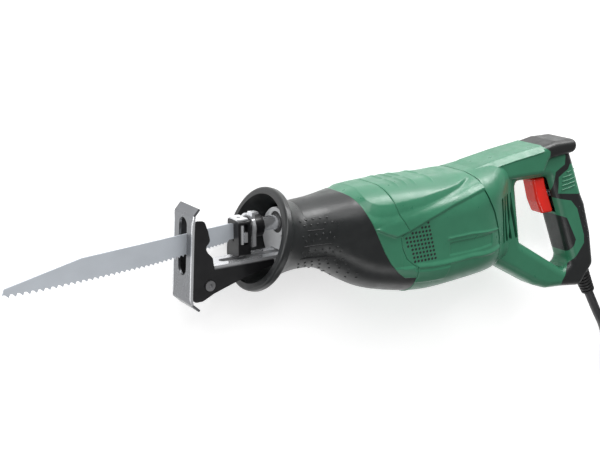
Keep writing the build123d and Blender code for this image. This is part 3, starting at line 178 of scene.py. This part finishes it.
def make_material(name, color, rough=0.5, metal=0.0, grain=0.0, grain_size=0.4, tone=0.12,
                  rough_spread=0.08, coat=0.0, brushed=None):
    """Moulded, painted or metal surface: uneven tone and gloss, and a fine grain in relief.

    grain_size is in millimetres; brushed stretches the grain along one axis.
    """
    mat = bpy.data.materials.new(name)
    mat.use_nodes = True
    tree = mat.node_tree
    shader = tree.nodes["Principled BSDF"]
    coords = tree.nodes.new("ShaderNodeTexCoord")

    def noise(size, detail, stretch=None):
        mapping = tree.nodes.new("ShaderNodeMapping")
        mapping.inputs["Scale"].default_value = stretch or (1.0, 1.0, 1.0)
        tree.links.new(coords.outputs["Object"], mapping.inputs["Vector"])
        texture = tree.nodes.new("ShaderNodeTexNoise")
        texture.inputs["Scale"].default_value = 1000.0 / size
        texture.inputs["Detail"].default_value = detail
        tree.links.new(mapping.outputs["Vector"], texture.inputs["Vector"])
        return texture.outputs["Fac"]

    def spread(value, low, high):
        """Noise value, which keeps to the middle of its range, spread over low to high."""
        node = tree.nodes.new("ShaderNodeMapRange")
        node.inputs["From Min"].default_value = 0.25
        node.inputs["From Max"].default_value = 0.75
        node.inputs["To Min"].default_value = low
        node.inputs["To Max"].default_value = high
        tree.links.new(value, node.inputs["Value"])
        return node.outputs["Result"]

    patches = noise(TONE_PATCH, 3.0)
    mix = tree.nodes.new("ShaderNodeMix")
    mix.data_type = "RGBA"
    dark = tuple(c * (1.0 - tone) for c in color)
    light = tuple(min(1.0, c * (1.0 + tone)) for c in color)
    mix.inputs["A"].default_value = (*dark, 1.0)
    mix.inputs["B"].default_value = (*light, 1.0)
    tree.links.new(spread(patches, 0.0, 1.0), mix.inputs["Factor"])
    tree.links.new(mix.outputs["Result"], shader.inputs["Base Color"])
    fine = noise(grain_size, 2.0, brushed)
    gloss = fine if brushed else noise(TONE_PATCH / 4, 4.0)
    tree.links.new(spread(gloss, rough - rough_spread, rough + rough_spread), shader.inputs["Roughness"])
    if grain:
        bump = tree.nodes.new("ShaderNodeBump")
        bump.inputs["Strength"].default_value = grain
        bump.inputs["Distance"].default_value = grain_size / 4000.0
        tree.links.new(fine, bump.inputs["Height"])
        tree.links.new(bump.outputs["Normal"], shader.inputs["Normal"])
    shader.inputs["Metallic"].default_value = metal
    shader.inputs["Coat Weight"].default_value = coat
    return mat


finishes = {
    "casing_green": make_material("casing_green", (0.034, 0.172, 0.096), 0.34,
                                  grain=0.35, grain_size=0.5, tone=0.10),
    "grip_rubber": make_material("grip_rubber", (0.012, 0.0135, 0.0140), 0.34,
                                 grain=0.25, grain_size=0.6, tone=0.2),
    "boot_rubber": make_material("boot_rubber", (0.010, 0.010, 0.011), 0.5,
                                 grain=0.4, grain_size=0.7, tone=0.2),
    "cord_rubber": make_material("cord_rubber", (0.022, 0.022, 0.024), 0.45,
                                 grain=0.3, grain_size=0.6, tone=0.2),
    "trigger_red": make_material("trigger_red", (0.86, 0.016, 0.006), 0.22,
                                 grain=0.1, grain_size=0.5, tone=0.08, coat=0.4),
    "black_plastic": make_material("black_plastic", (0.011, 0.012, 0.012), 0.42,
                                   grain=0.4, grain_size=0.5, tone=0.2),
    "blade_steel": make_material("blade_steel", (0.60, 0.64, 0.69), 0.38, metal=0.45,
                                 grain=0.15, grain_size=0.5, tone=0.07, brushed=(0.04, 1.0, 1.0)),
    "chromed_steel": make_material("chromed_steel", (0.74, 0.75, 0.77), 0.16, metal=0.72,
                                   grain=0.05, grain_size=1.0, tone=0.04, rough_spread=0.04),
    "shoe_steel": make_material("shoe_steel", (0.175, 0.18, 0.19), 0.30, metal=0.8,
                                grain=0.2, grain_size=0.5, tone=0.1),
    "black_steel": make_material("black_steel", (0.008, 0.008, 0.009), 0.36, metal=0.1,
                                 grain=0.2, grain_size=0.5, tone=0.2),
    "case_aluminium": make_material("case_aluminium", (0.55, 0.56, 0.57), 0.45, metal=0.35,
                                    grain=0.4, grain_size=0.9),
    "gear_steel": make_material("gear_steel", (0.42, 0.42, 0.43), 0.3, metal=1.0, grain=0.1),
    "lamination": make_material("lamination", (0.30, 0.30, 0.31), 0.4, metal=1.0,
                                grain=0.6, grain_size=0.5, brushed=(1.0, 0.05, 0.05)),
    "copper": make_material("copper", (0.72, 0.30, 0.12), 0.3, metal=1.0, grain=0.5, grain_size=0.6),
    "brush_brass": make_material("brush_brass", (0.72, 0.52, 0.2), 0.3, metal=1.0, grain=0.1),
    "carbon": make_material("carbon", (0.05, 0.05, 0.05), 0.6, grain=0.3),
    "screw_steel": make_material("screw_steel", (0.34, 0.34, 0.35), 0.32, metal=1.0, grain=0.1),
    "pin_nickel": make_material("pin_nickel", (0.78, 0.76, 0.72), 0.16, metal=1.0, grain=0.05),
    "joint_shadow": make_material("joint_shadow", (0.004, 0.004, 0.005), 0.6, grain=0.2),
    "lead_blue": make_material("lead_blue", (0.02, 0.09, 0.42), 0.35, grain=0.1),
}
for row in frame["record"]["subparts"]:
    node_mesh = nodes[row["node"]].data
    node_mesh.materials.clear()
    node_mesh.materials.append(finishes[row["material_slot"]])
cord_line.data.materials.append(finishes["cord_rubber"])
bench_white = make_material("bench_white", (0.93, 0.93, 0.93), 0.6, grain=0.02, tone=0.006)
bench_shader = bench_white.node_tree.nodes["Principled BSDF"]
bench_shader.inputs["Emission Color"].default_value = (1.0, 1.0, 1.0, 1.0)
bench_shader.inputs["Emission Strength"].default_value = 0.45
floor_mesh.materials.append(bench_white)

# ---------------------------------------------------------------- casing skins
# The casing is unrolled about a line along the body: x runs rearward and s round the side, both in
# millimetres, s being 0 level with the line and about 69 along the top. Both sides of the casing are alike.
AXIS_Y = -26.0
UNROLL = 44.0
VENTS_FROM, VENTS_TO = 115.0, 160.0
# Where one casing piece meets the next, as x and height from the top downwards.
BOOT_LINE = ((74, 60), (74, 21), (80, 17), (84, 10), (87, 2), (91, -7), (95.5, -17), (101.5, -30), (108, -41),
             (116, -49.5), (123.5, -55), (136, -56.5), (136, -130))
FRONT_LINE = ((111, 60), (111, 20), (112, 16.5), (114, 8), (118, -2), (125, -14), (117.5, -19), (119, -27),
              (124.5, -39), (131, -45), (136, -47), (136, -130))
REAR_LINE = ((205, 60), (206, 22), (210, 17), (212, 8), (217, -2), (224, -12), (231, -27), (235, -38),
             (235.5, -52), (234, -60), (234, -130))
# Edges of the casing's modelling, as x and s: the pad on top, with a sloping band round it, and the facet
# down each side.
BAND_TOP = ((91, 72), (90, 60), (88, 53), (89, 43.5), (92.5, 38.5), (98.5, 35.5), (108, 34), (118, 34),
            (142, 35), (173, 39.5), (186.5, 42.5), (204, 49.5), (212, 60))
BAND_BASE = ((79, 72), (80, 60), (81, 47), (85.5, 41), (88.5, 33.5), (93, 29.5), (101, 27.5), (110.5, 27),
             (118.5, 28), (140, 30), (164, 34), (187, 40), (202, 47), (214, 58))
FACET_TOP = ((93, 19), (102, 21), (117.5, 23.5), (139, 27), (169, 33), (190, 38), (211.5, 42.5), (240, 48))
FACET_BASE = ((93, 19), (102.5, 14), (112.5, 9.5), (125, 12.5), (146, 19.5), (173.5, 27), (211, 35),
              (240, 40))
# Lines that the ridges and ribs follow, as x and s.
RIDGE = ((135, -21), (153, -22), (167, -22), (196, -21), (237, -25))
PLATE_RIDGE = ((166, -1.5), (195, -1), (241, -5))
PAD_RIBS = (((127.5, 66), (127, 50)), ((138, 66), (136, 50)), ((147, 65), (144.5, 46)),
            ((167, 65), (163, 46)))
# Heights of the modelling over the plain casing, in millimetres.
PAD_EDGE, PAD_LIP, BAND_FALL, BAND_FOOT = 0.7, 0.3, 1.5, 0.8
FACET_RISE, PANEL_DEPTH = 1.5, 0.8
RIDGE_HEIGHT, RAIL_HEIGHT, RIB_HEIGHT = 0.9, 1.0, 0.8
# Recess for the model plate: its ends, its lower and upper edges, its depth and the width of its walls.
PLATE_ENDS, PLATE_EDGES, PLATE_DEPTH, PLATE_WALL = (170.0, 222.0), (-17.5, -5.5), 0.8, 0.8


def surface_of(*objects):
    """Tree of objects' surfaces, in tool millimetres, to lay pieces on."""
    verts, faces = [], []
    for obj in objects:
        first = len(verts)
        verts.extend(v.co * 1000 - DATUM for v in obj.data.vertices)
        faces.extend([first + k for k in p.vertices] for p in obj.data.polygons)
    return BVHTree.FromPolygons(verts, faces)


OUTSIDE = 90.0  # a distance from the tool's middle that is clear of the casing


def reach(x, angle):
    """How far the casing is from the unrolling line at x, in the direction of angle, or None."""
    out = Vector((0.0, math.sin(angle), math.cos(angle)))
    middle = Vector((x, AXIS_Y, 0.0))
    hit = casing_surface.ray_cast(middle + out * OUTSIDE, -out)
    return None if hit[0] is None else (hit[0] - middle).dot(out)


def line_x(line, y):
    """Where a joint line, running downwards, crosses height y."""
    for (x0, y0), (x1, y1) in zip(line, line[1:]):
        if y1 <= y <= y0:
            return x0 + (x1 - x0) * (y0 - y) / (y0 - y1)
    return line[-1][0]


def smooth(value, low, high):
    """Smooth step from 0 at low to 1 at high."""
    t = np.clip((value - low) / (high - low), 0.0, 1.0)
    return t * t * (3 - 2 * t)


def aside(x, s, line):
    """Signed distance of points from a line, positive on its left."""
    best = np.full(x.shape, 1e9)
    signed = np.zeros(x.shape)
    for (x0, s0), (x1, s1) in zip(line, line[1:]):
        dx, ds = x1 - x0, s1 - s0
        t = np.clip(((x - x0) * dx + (s - s0) * ds) / (dx * dx + ds * ds), 0.0, 1.0)
        gap = np.hypot(x - x0 - t * dx, s - s0 - t * ds)
        side = np.where(dx * (s - s0) - ds * (x - x0) >= 0, gap, -gap)
        signed = np.where(gap < best - 1e-9, side, signed)
        best = np.minimum(best, gap)
    return signed


def wall_between(value, low, high, wall):
    """1 between low and high, falling to 0 over a wall inside each."""
    return smooth(value, low, low + wall) * (1 - smooth(value, high - wall, high))


def casing_relief(x, s):
    """Height of the casing's modelling over its plain surface."""
    # Pad on top and the band that slopes down from it, fading out before the handle.
    above, below = aside(x, s, BAND_TOP), aside(x, s, BAND_BASE)
    lip = smooth(above, -0.4, 1.2) * PAD_LIP + PAD_EDGE
    slope = np.clip(-above / np.maximum(below - above, 0.01), 0.0, 1.0)
    foot = -BAND_FOOT * (1 - smooth(-below, 0.0, 7.0))
    pad = np.where(above > 0, lip, np.where(below > 0, PAD_EDGE - BAND_FALL * slope, foot))
    height = pad * (1 - smooth(x, 194.0, 206.0))
    # Side facet, rising towards its lower edge, over the sunken panel of the side.
    over, under = aside(x, s, FACET_TOP), aside(x, s, FACET_BASE)
    rise = FACET_RISE * np.clip(-over / np.maximum(under - over, 0.01), 0.0, 1.0)
    height += np.where((over < 0) & (under > 0), rise, 0.0)
    ridge = aside(x, s, RIDGE)
    panel = smooth(x, 118.0, 121.0) * smooth(ridge, 1.0, 2.5)
    drop = smooth(-under, 0.0, 1.4)
    height += np.where((over < 0) & (under <= 0), FACET_RISE * (1 - drop) - PANEL_DEPTH * panel * drop, 0.0)
    # Ridge along the side, the rail under it, and the model plate's recess with the ridge over it.
    height += RIDGE_HEIGHT * np.exp(-(ridge / 1.2) ** 2) * smooth(x, 134.0, 137.0)
    rail_end = 170.5 + (s + 28.0) * 0.3
    rail = smooth(-ridge, 2.2, 3.0) * smooth(s, -36.0, -34.5) * smooth(rail_end - x, 0.0, 0.9)
    height += RAIL_HEIGHT * rail
    recess = wall_between(x, *PLATE_ENDS, PLATE_WALL) * wall_between(s, *PLATE_EDGES, PLATE_WALL)
    height -= PLATE_DEPTH * recess
    height += RIDGE_HEIGHT * np.exp(-(aside(x, s, PLATE_RIDGE) / 1.1) ** 2) * smooth(x, 166.0, 170.0)
    # Ribs across the pad, steep behind and drawn out in front.
    for rib in PAD_RIBS:
        gap = aside(x, s, rib)
        height += RIB_HEIGHT * np.exp(-(np.where(gap > 0, gap / 0.5, gap / 2.2)) ** 2) * smooth(s, 46.0, 56.0)
    return height


SKIN_THICK = 2.4
JOINT_GAP = 0.12
EDGE_DROP, EDGE_WIDTH = 0.55, 0.7


def joint_x(line, angle, guess):
    """Where a joint line crosses the casing in the direction of angle."""
    x = guess
    for _ in range(8):
        radius = reach(x, angle) or UNROLL
        x = 0.35 * x + 0.65 * line_x(line, AXIS_Y + radius * math.sin(angle))
    return x


def skin(name, cad, front, rear, start, stop, columns, rows):
    """Closed shell laid over a stretch of the casing between two joint lines, with the casing's relief."""
    wraps = abs(stop - start - 2 * math.pi) < 1e-6
    angles = np.linspace(start, stop, columns, endpoint=not wraps)
    xs, radii = np.zeros((rows, columns)), np.zeros((rows, columns))
    for j, angle in enumerate(angles):
        near, far = joint_x(front, angle, 110.0), joint_x(rear, angle, 200.0)
        xs[:, j] = np.linspace(near + JOINT_GAP, max(far - JOINT_GAP, near + 0.2), rows)
        column = [reach(x, angle) for x in xs[:, j]]
        radii[:, j] = [-1.0 if r is None else r for r in column]
    # A ray that has gone in through a vent hole is bridged from its neighbours along the body.
    for j in range(columns):
        column, x = radii[:, j], xs[:, j]
        rim = np.array([column[max(0, i - 5):i + 6].max() for i in range(rows)])
        good = (column > rim - 0.35) | (x < VENTS_FROM) | (x > VENTS_TO)
        radii[:, j] = np.interp(x, x[good], column[good])
    ys, ws = AXIS_Y + radii * np.sin(angles), radii * np.cos(angles)
    relief = casing_relief(xs, UNROLL * np.arctan2(ys - AXIS_Y, np.abs(ws)))
    edge = np.minimum(xs - xs[0], xs[-1] - xs)
    outer = radii + relief - EDGE_DROP * (1 - smooth(edge, 0.0, EDGE_WIDTH))
    mesh = bmesh.new()
    top, base = [
        [[mesh.verts.new(tool(xs[i, j], AXIS_Y + shell[i, j] * math.sin(a), shell[i, j] * math.cos(a)))
          for j, a in enumerate(angles)] for i in range(rows)]
        for shell in (outer, np.minimum(outer, radii) - SKIN_THICK)
    ]
    for j in range(columns if wraps else columns - 1):
        n = (j + 1) % columns
        for i in range(rows - 1):
            mesh.faces.new((top[i][j], top[i + 1][j], top[i + 1][n], top[i][n]))
            mesh.faces.new((base[i][j], base[i][n], base[i + 1][n], base[i + 1][j]))
        mesh.faces.new((top[0][j], top[0][n], base[0][n], base[0][j]))
        mesh.faces.new((top[-1][j], base[-1][j], base[-1][n], top[-1][n]))
    if not wraps:
        for i in range(rows - 1):
            mesh.faces.new((top[i][0], base[i][0], base[i + 1][0], top[i + 1][0]))
            mesh.faces.new((top[i][-1], top[i + 1][-1], base[i + 1][-1], base[i][-1]))
    bmesh.ops.recalc_face_normals(mesh, faces=mesh.faces)
    return publish(name, mesh, "casing_green", (cad,))


def publish(name, mesh, finish, replaced=(), body="housing"):
    """Turn built geometry into a scene piece that moves with a body."""
    data = bpy.data.meshes.new(name)
    mesh.to_mesh(data)
    mesh.free()
    for face in data.polygons:
        face.use_smooth = True
    piece = link(bpy.data.objects.new(name, data))
    data.materials.append(finishes[finish])
    if replaced:
        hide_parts(*replaced)
    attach(piece, body)
    return piece


casing_surface = surface_of(nodes["front_grip"], nodes["front_cover"], nodes["motor_housing"],
                            nodes["handle_shell_left"], nodes["handle_shell_right"])
skin("front_cover_skin", "front_cover", BOOT_LINE, FRONT_LINE, -0.74, math.pi + 0.74, 280, 80)
motor_skin = skin("motor_housing_skin", "motor_housing", FRONT_LINE, REAR_LINE, 0.0, 2 * math.pi, 400, 180)


SIDES = (("left", 1), ("right", -1))


def on_side(tree, x, y, side):
    """Point and outward direction of a surface seen from one side, 1 being the left and -1 the right."""
    hit = tree.ray_cast(Vector((x, y, OUTSIDE * side)), Vector((0.0, 0.0, -side)))
    if hit[0] is None:
        return None
    normal = hit[1] if hit[1].z * side > 0 else -hit[1]
    return hit[0], normal


def join_rings(mesh, one, two):
    """Faces between two closed rings of as many points."""
    for k in range(len(one)):
        n = (k + 1) % len(one)
        mesh.faces.new((one[k], one[n], two[n], two[k]))


STUD_CORNERS = 14


def studs(name, tree, places, profile, finish):
    """Small round features on a surface, profile giving the radius and height of each ring, rim first."""
    mesh = bmesh.new()
    turns = [2 * math.pi * k / STUD_CORNERS for k in range(STUD_CORNERS)]
    for _, side in SIDES:
        for x, y in places:
            found = on_side(tree, x, y, side)
            if found is None:
                continue
            point, normal = found
            along = normal.cross(Vector((0.0, 1.0, 0.0))).normalized()
            across = normal.cross(along)
            rings = []
            for radius, height in profile:
                ring = [point + normal * height + (along * math.cos(t) + across * math.sin(t)) * radius
                        for t in turns]
                rings.append([mesh.verts.new(tool(*spot)) for spot in ring])
            for one, two in zip(rings, rings[1:]):
                join_rings(mesh, one, two)
            mesh.faces.new(rings[-1])
            mesh.faces.new(rings[0][::-1])
    bmesh.ops.recalc_face_normals(mesh, faces=mesh.faces)
    return publish(name, mesh, finish)


def beading(name, tree, lines, radius, finish, sink=0.0):
    """Round beads laid along side-view lines on a surface."""
    for number, line in enumerate(lines):
        for side_name, side in SIDES:
            spots = [on_side(tree, x, y, side) for x, y in line]
            points = [tool(*(spot[0] - spot[1] * sink)) for spot in spots if spot]
            if len(points) < 3:
                continue
            bead = nurbs(f"{name}_{number}_{side_name}", points, radius / 1000, 6)
            bead.data.bevel_resolution = 3
            bead.data.materials.append(finishes[finish])
            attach(bead, "housing")


# Round cooling holes: rows down a slanting panel, each ending on the panel's front and rear edges. Black cups
# laid on the skin over each hole stand in for the dark inside it: painted shade.
VENT_PITCH = 3.6
vents = []
for row in range(10):
    y = -9.7 - row * VENT_PITCH
    rear = 145.1 - 0.277 * (y + 8.7)
    front = 145.1 + 2.19 * (y + 8.7) + 1.5 if y > -20.4 else 119.5 - 0.478 * (y + 20.4) + 1.5
    vents += [(rear - k * VENT_PITCH, y) for k in range(int((rear - front) / VENT_PITCH) + 1)]
# The black cups are painted shade for the insides of the bridged vent holes.
studs("vent_shade_cups", surface_of(motor_skin), vents, ((1.15, -0.4), (1.15, 0.08), (0.95, 0.05)), "black_plastic")

# Knobs in staggered rows on the front grip, and the grooves between them, laid as near-black beads: painted
# shade in the grooves.
KNOB_PITCH = 6.4
grip_surface = surface_of(nodes["front_grip"])
knobs = []
for row, y in enumerate((4.5, 0.5, -7.5, -11.8, -20.5, -24.0, -31.5, -36.0, -41.0, -46.0, -51.0)):
    last = 58.0 if y > -11.7 else 58.0 - 0.69 * (y + 11.7)
    start = (27.5 if y > -40 else 46.0 - (y + 40.0) * 0.9) + KNOB_PITCH / 2 * (row % 2)
    knobs += [(start + KNOB_PITCH * k, y) for k in range(int((last - start) / KNOB_PITCH) + 1)]
studs("grip_knobs", grip_surface, knobs, ((1.05, -0.3), (1.0, 0.25), (0.7, 0.5), (0.3, 0.6)), "grip_rubber")
GRIP_GROOVES = (
    ((33, -3.6), (37, -3.7), (42, -3.9), (48, -4.1)),
    ((28, -15.7), (36, -16.0), (45, -16.3), (54, -16.7)),
    ((27, -26.4), (38, -27.2), (48, -27.9), (59, -28.5)),
)
# The near-black groove beads are painted shade.
beading("grip_groove", grip_surface, GRIP_GROOVES, 0.55, "joint_shadow", 0.2)


# ---------------------------------------------------------------- shoe
SHOE_HALF = 15.0
EAR_THICK = 1.6
RIM_SOFTENING = 0.0003  # width, in metres, of the rounded rims of pressed plates


def rounded(outline, radius, steps=6):
    """Closed outline with each of its corners rounded off."""
    points = []
    for k, corner in enumerate(outline):
        here = Vector(corner)
        back = Vector(outline[k - 1]) - here
        ahead = Vector(outline[(k + 1) % len(outline)]) - here
        half = back.angle(ahead) / 2
        trim = min(radius / math.tan(half), 0.45 * back.length, 0.45 * ahead.length)
        start, end = here + back.normalized() * trim, here + ahead.normalized() * trim
        for n in range(steps + 1):
            t = n / steps
            points.append(start * (1 - t) ** 2 + here * 2 * t * (1 - t) + end * t * t)
    return points


def pressed_plate(name, outline, near, far, finish, body, replaced=()):
    """Plate with a side-view outline, between two distances from the mid-plane, its rims softened."""
    mesh = bmesh.new()
    caps = [[mesh.verts.new(tool(p.x, p.y, w)) for p in outline] for w in (near, far)]
    join_rings(mesh, *caps)
    lids = [mesh.faces.new(caps[0][::-1]), mesh.faces.new(caps[1])]
    bmesh.ops.recalc_face_normals(mesh, faces=mesh.faces)
    rims = list({edge for lid in lids for edge in lid.edges})
    bmesh.ops.bevel(mesh, geom=rims, offset=RIM_SOFTENING, segments=2, affect="EDGES", profile=0.5)
    bmesh.ops.triangulate(mesh, faces=[f for f in mesh.faces if len(f.verts) > 4])
    piece = publish(name, mesh, finish, replaced, body)
    for face in piece.data.polygons:
        face.use_smooth = abs(face.normal.z) < 0.99
    return piece


def band_outline(line, half):
    """Closed outline of a strip of even thickness along an open line."""
    line = [Vector(p) for p in line]
    normals = []
    for one, two in zip(line, line[1:]):
        run = (two - one).normalized()
        normals.append(Vector((-run.y, run.x)))
    joints = [normals[0]]
    for one, two in zip(normals, normals[1:]):
        joints.append((one + two) / (1 + one.dot(two)))
    joints.append(normals[-1])
    there = [p + n * half for p, n in zip(line, joints)]
    back = [p - n * half for p, n in zip(line, joints)]
    return there + back[::-1]


SLOT_STEPS = 16
SHARP_FROM = math.radians(25.0)


def cut_out(piece, rings):
    """Cut a hole right through a piece, between two rings of points, its rims left sharp."""
    mesh = bmesh.new()
    caps = [[mesh.verts.new(spot) for spot in ring] for ring in rings]
    join_rings(mesh, *caps)
    mesh.faces.new(caps[0][::-1])
    mesh.faces.new(caps[1])
    bmesh.ops.recalc_face_normals(mesh, faces=mesh.faces)
    data = bpy.data.meshes.new("cutter")
    mesh.to_mesh(data)
    mesh.free()
    cutter = link(bpy.data.objects.new("cutter", data))
    cut = piece.modifiers.new("cut", "BOOLEAN")
    cut.operation, cut.solver, cut.object = "DIFFERENCE", "EXACT", cutter
    graph = bpy.context.evaluated_depsgraph_get()
    solid = bpy.data.meshes.new_from_object(piece.evaluated_get(graph))
    piece.modifiers.remove(cut)
    piece.data = solid
    bpy.data.objects.remove(cutter)
    solid.set_sharp_from_angle(angle=SHARP_FROM)
    even = piece.modifiers.new("even_shading", "WEIGHTED_NORMAL")
    even.keep_sharp = True


def cut_slot(piece, middle, length, width, near, far):
    """Round-ended slot cut through a piece along x, from near to far, its long side upright."""
    radius = width / 2
    ring = []
    for end in (1, -1):
        for k in range(SLOT_STEPS + 1):
            t = math.pi * k / SLOT_STEPS
            y = middle + end * ((length - width) / 2 + math.sin(t) * radius)
            ring.append((y, end * math.cos(t) * radius))
    cut_out(piece, [[tool(x, y, w) for y, w in ring] for x in (near, far)])


# Satin plate, folded back at both ends, with a slot for the blade.
SHOE_LINE = ((-57.0, 24.2), (-62.4, 18.4), (-66.2, -50.2), (-58.9, -57.0))
SHOE_HALF_THICK, FOLD_ROUND = 1.0, 3.4
SLOT_MIDDLE, SLOT_LONG, SLOT_WIDE = -7.0, 46.0, 13.0
shoe_plate = pressed_plate("shoe_plate", rounded(band_outline(SHOE_LINE, SHOE_HALF_THICK), FOLD_ROUND, 8),
                           -SHOE_HALF, SHOE_HALF, "shoe_steel", "shoe", ("shoe",))
cut_slot(shoe_plate, SLOT_MIDDLE, SLOT_LONG, SLOT_WIDE, -72.0, -54.0)

# Black ears behind the plate, and a round bead down each of its long edges for the plate's rounded edge, in
# chrome brighter than the plate: a painted highlight.
EAR_OUTLINE = ((-61.6, 15.4), (-53.0, 14.2), (-50.0, 5.5), (-48.4, -2.5), (-52.8, -7.0), (-50.6, -11.5),
               (-46.6, -15.7), (-44.5, -30.0), (-43.0, -38.0), (-46.0, -45.0), (-56.0, -49.6), (-64.4, -49.6))
EAR_ROUND = 4.0
SHEEN_BEAD_LINE = ((-61.6, 19.0), (-62.6, 15.0), (-64.2, -16.0), (-65.4, -38.0), (-66.0, -48.0), (-65.2, -51.0))
SHEEN_BEAD_RADIUS, SHEEN_BEAD_INSET = 0.00135, 0.5
RIVET_PLACE, RIVET_HOLE, RIVET_STEPS = (-50.0, -37.5), 3.2, 32
rivet_turns = [2 * math.pi * k / RIVET_STEPS for k in range(RIVET_STEPS)]
rivet_rim = [(RIVET_PLACE[0] + RIVET_HOLE * math.cos(t), RIVET_PLACE[1] + RIVET_HOLE * math.sin(t))
             for t in rivet_turns]
for side_name, side in SIDES:
    ear = pressed_plate(f"shoe_ear_{side_name}", rounded(EAR_OUTLINE, EAR_ROUND),
                        side * (SHOE_HALF - EAR_THICK), side * SHOE_HALF, "black_steel", "shoe")
    cut_out(ear, [[tool(x, y, side * w) for x, y in rivet_rim]
                  for w in (SHOE_HALF - EAR_THICK - 1.0, SHOE_HALF + 1.0)])
# Chrome beads: painted highlight along the plate's long edges.
for side_name, side in SIDES:
    edge_points = [tool(x, y, side * (SHOE_HALF - SHEEN_BEAD_INSET)) for x, y in SHEEN_BEAD_LINE]
    shoe_edge_sheen = nurbs(f"shoe_edge_sheen_{side_name}", edge_points, SHEEN_BEAD_RADIUS)
    shoe_edge_sheen.data.materials.append(finishes["chromed_steel"])
    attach(shoe_edge_sheen, "shoe")

# ---------------------------------------------------------------- handle
# Dark plate inside the body, which keeps most daylight out of its rear slots.
BAFFLE_OUTLINE = ((238.0, 5.0), (262.0, 6.0), (262.0, -58.0), (238.0, -58.0))
pressed_plate("slot_baffle", rounded(BAFFLE_OUTLINE, 3.0), -0.9, 0.9, "black_plastic", "housing")

# Cover over the beam of the handle: a flat top with a facet down each side. Rows are x, height and rise.
BEAM_ROWS = ((214.0, 23.0, 0.2), (226.0, 25.0, 1.0), (261.0, 30.5, 1.2), (290.0, 34.0, 1.2),
             (296.8, 35.2, 0.9))
TOP_HALF, FACET_HALF, FACET_DROP = 15.4, 20.9, 4.2
COVER_WALL, FACET_WALL = 3.0, 1.7
COVER_SOFTENING = 0.0005
cover_mesh = bmesh.new()
sections = []
for x, y, rise in BEAM_ROWS:
    outer = [(y - FACET_DROP, FACET_HALF), (y + rise, TOP_HALF)]
    inner = [(y - COVER_WALL, TOP_HALF - COVER_WALL), (y - FACET_DROP, FACET_HALF - FACET_WALL)]
    ring = outer + [(v, -w) for v, w in outer[::-1]] + [(v, -w) for v, w in inner[::-1]] + inner
    sections.append([cover_mesh.verts.new(tool(x, v, w)) for v, w in ring])
for one, two in zip(sections, sections[1:]):
    join_rings(cover_mesh, one, two)
cover_mesh.faces.new(sections[0])
cover_mesh.faces.new(sections[-1][::-1])
bmesh.ops.recalc_face_normals(cover_mesh, faces=cover_mesh.faces)
lengthways = [e for e in cover_mesh.edges if abs(e.verts[0].co.x - e.verts[1].co.x) > 0.001]
bmesh.ops.bevel(cover_mesh, geom=lengthways, offset=COVER_SOFTENING, segments=2, affect="EDGES", profile=0.5)
beam_cover = publish("beam_cover", cover_mesh, "casing_green")
for face in beam_cover.data.polygons:
    face.use_smooth = False

# Ribs across the thumb rests and knobs on the rear overmould.
thumb_ribs = [((327.5, y), (333.0, y + 0.4), (338.5, y + 1.2), (344.0, y + 2.4))
              for y in (-10.0, -6.0, -2.0, 2.0, 6.0)]
beading("thumb_rib", surface_of(nodes["thumb_rests"]), thumb_ribs, 0.7, "casing_green")
studs("overmould_knobs", surface_of(nodes["rear_overmould"]),
      [(353.0 + 2.2 * k + (2.4 if k % 2 else 0.0), -30.0 - 5.2 * k) for k in range(7)],
      ((0.9, -0.3), (0.85, 0.2), (0.5, 0.45)), "grip_rubber")
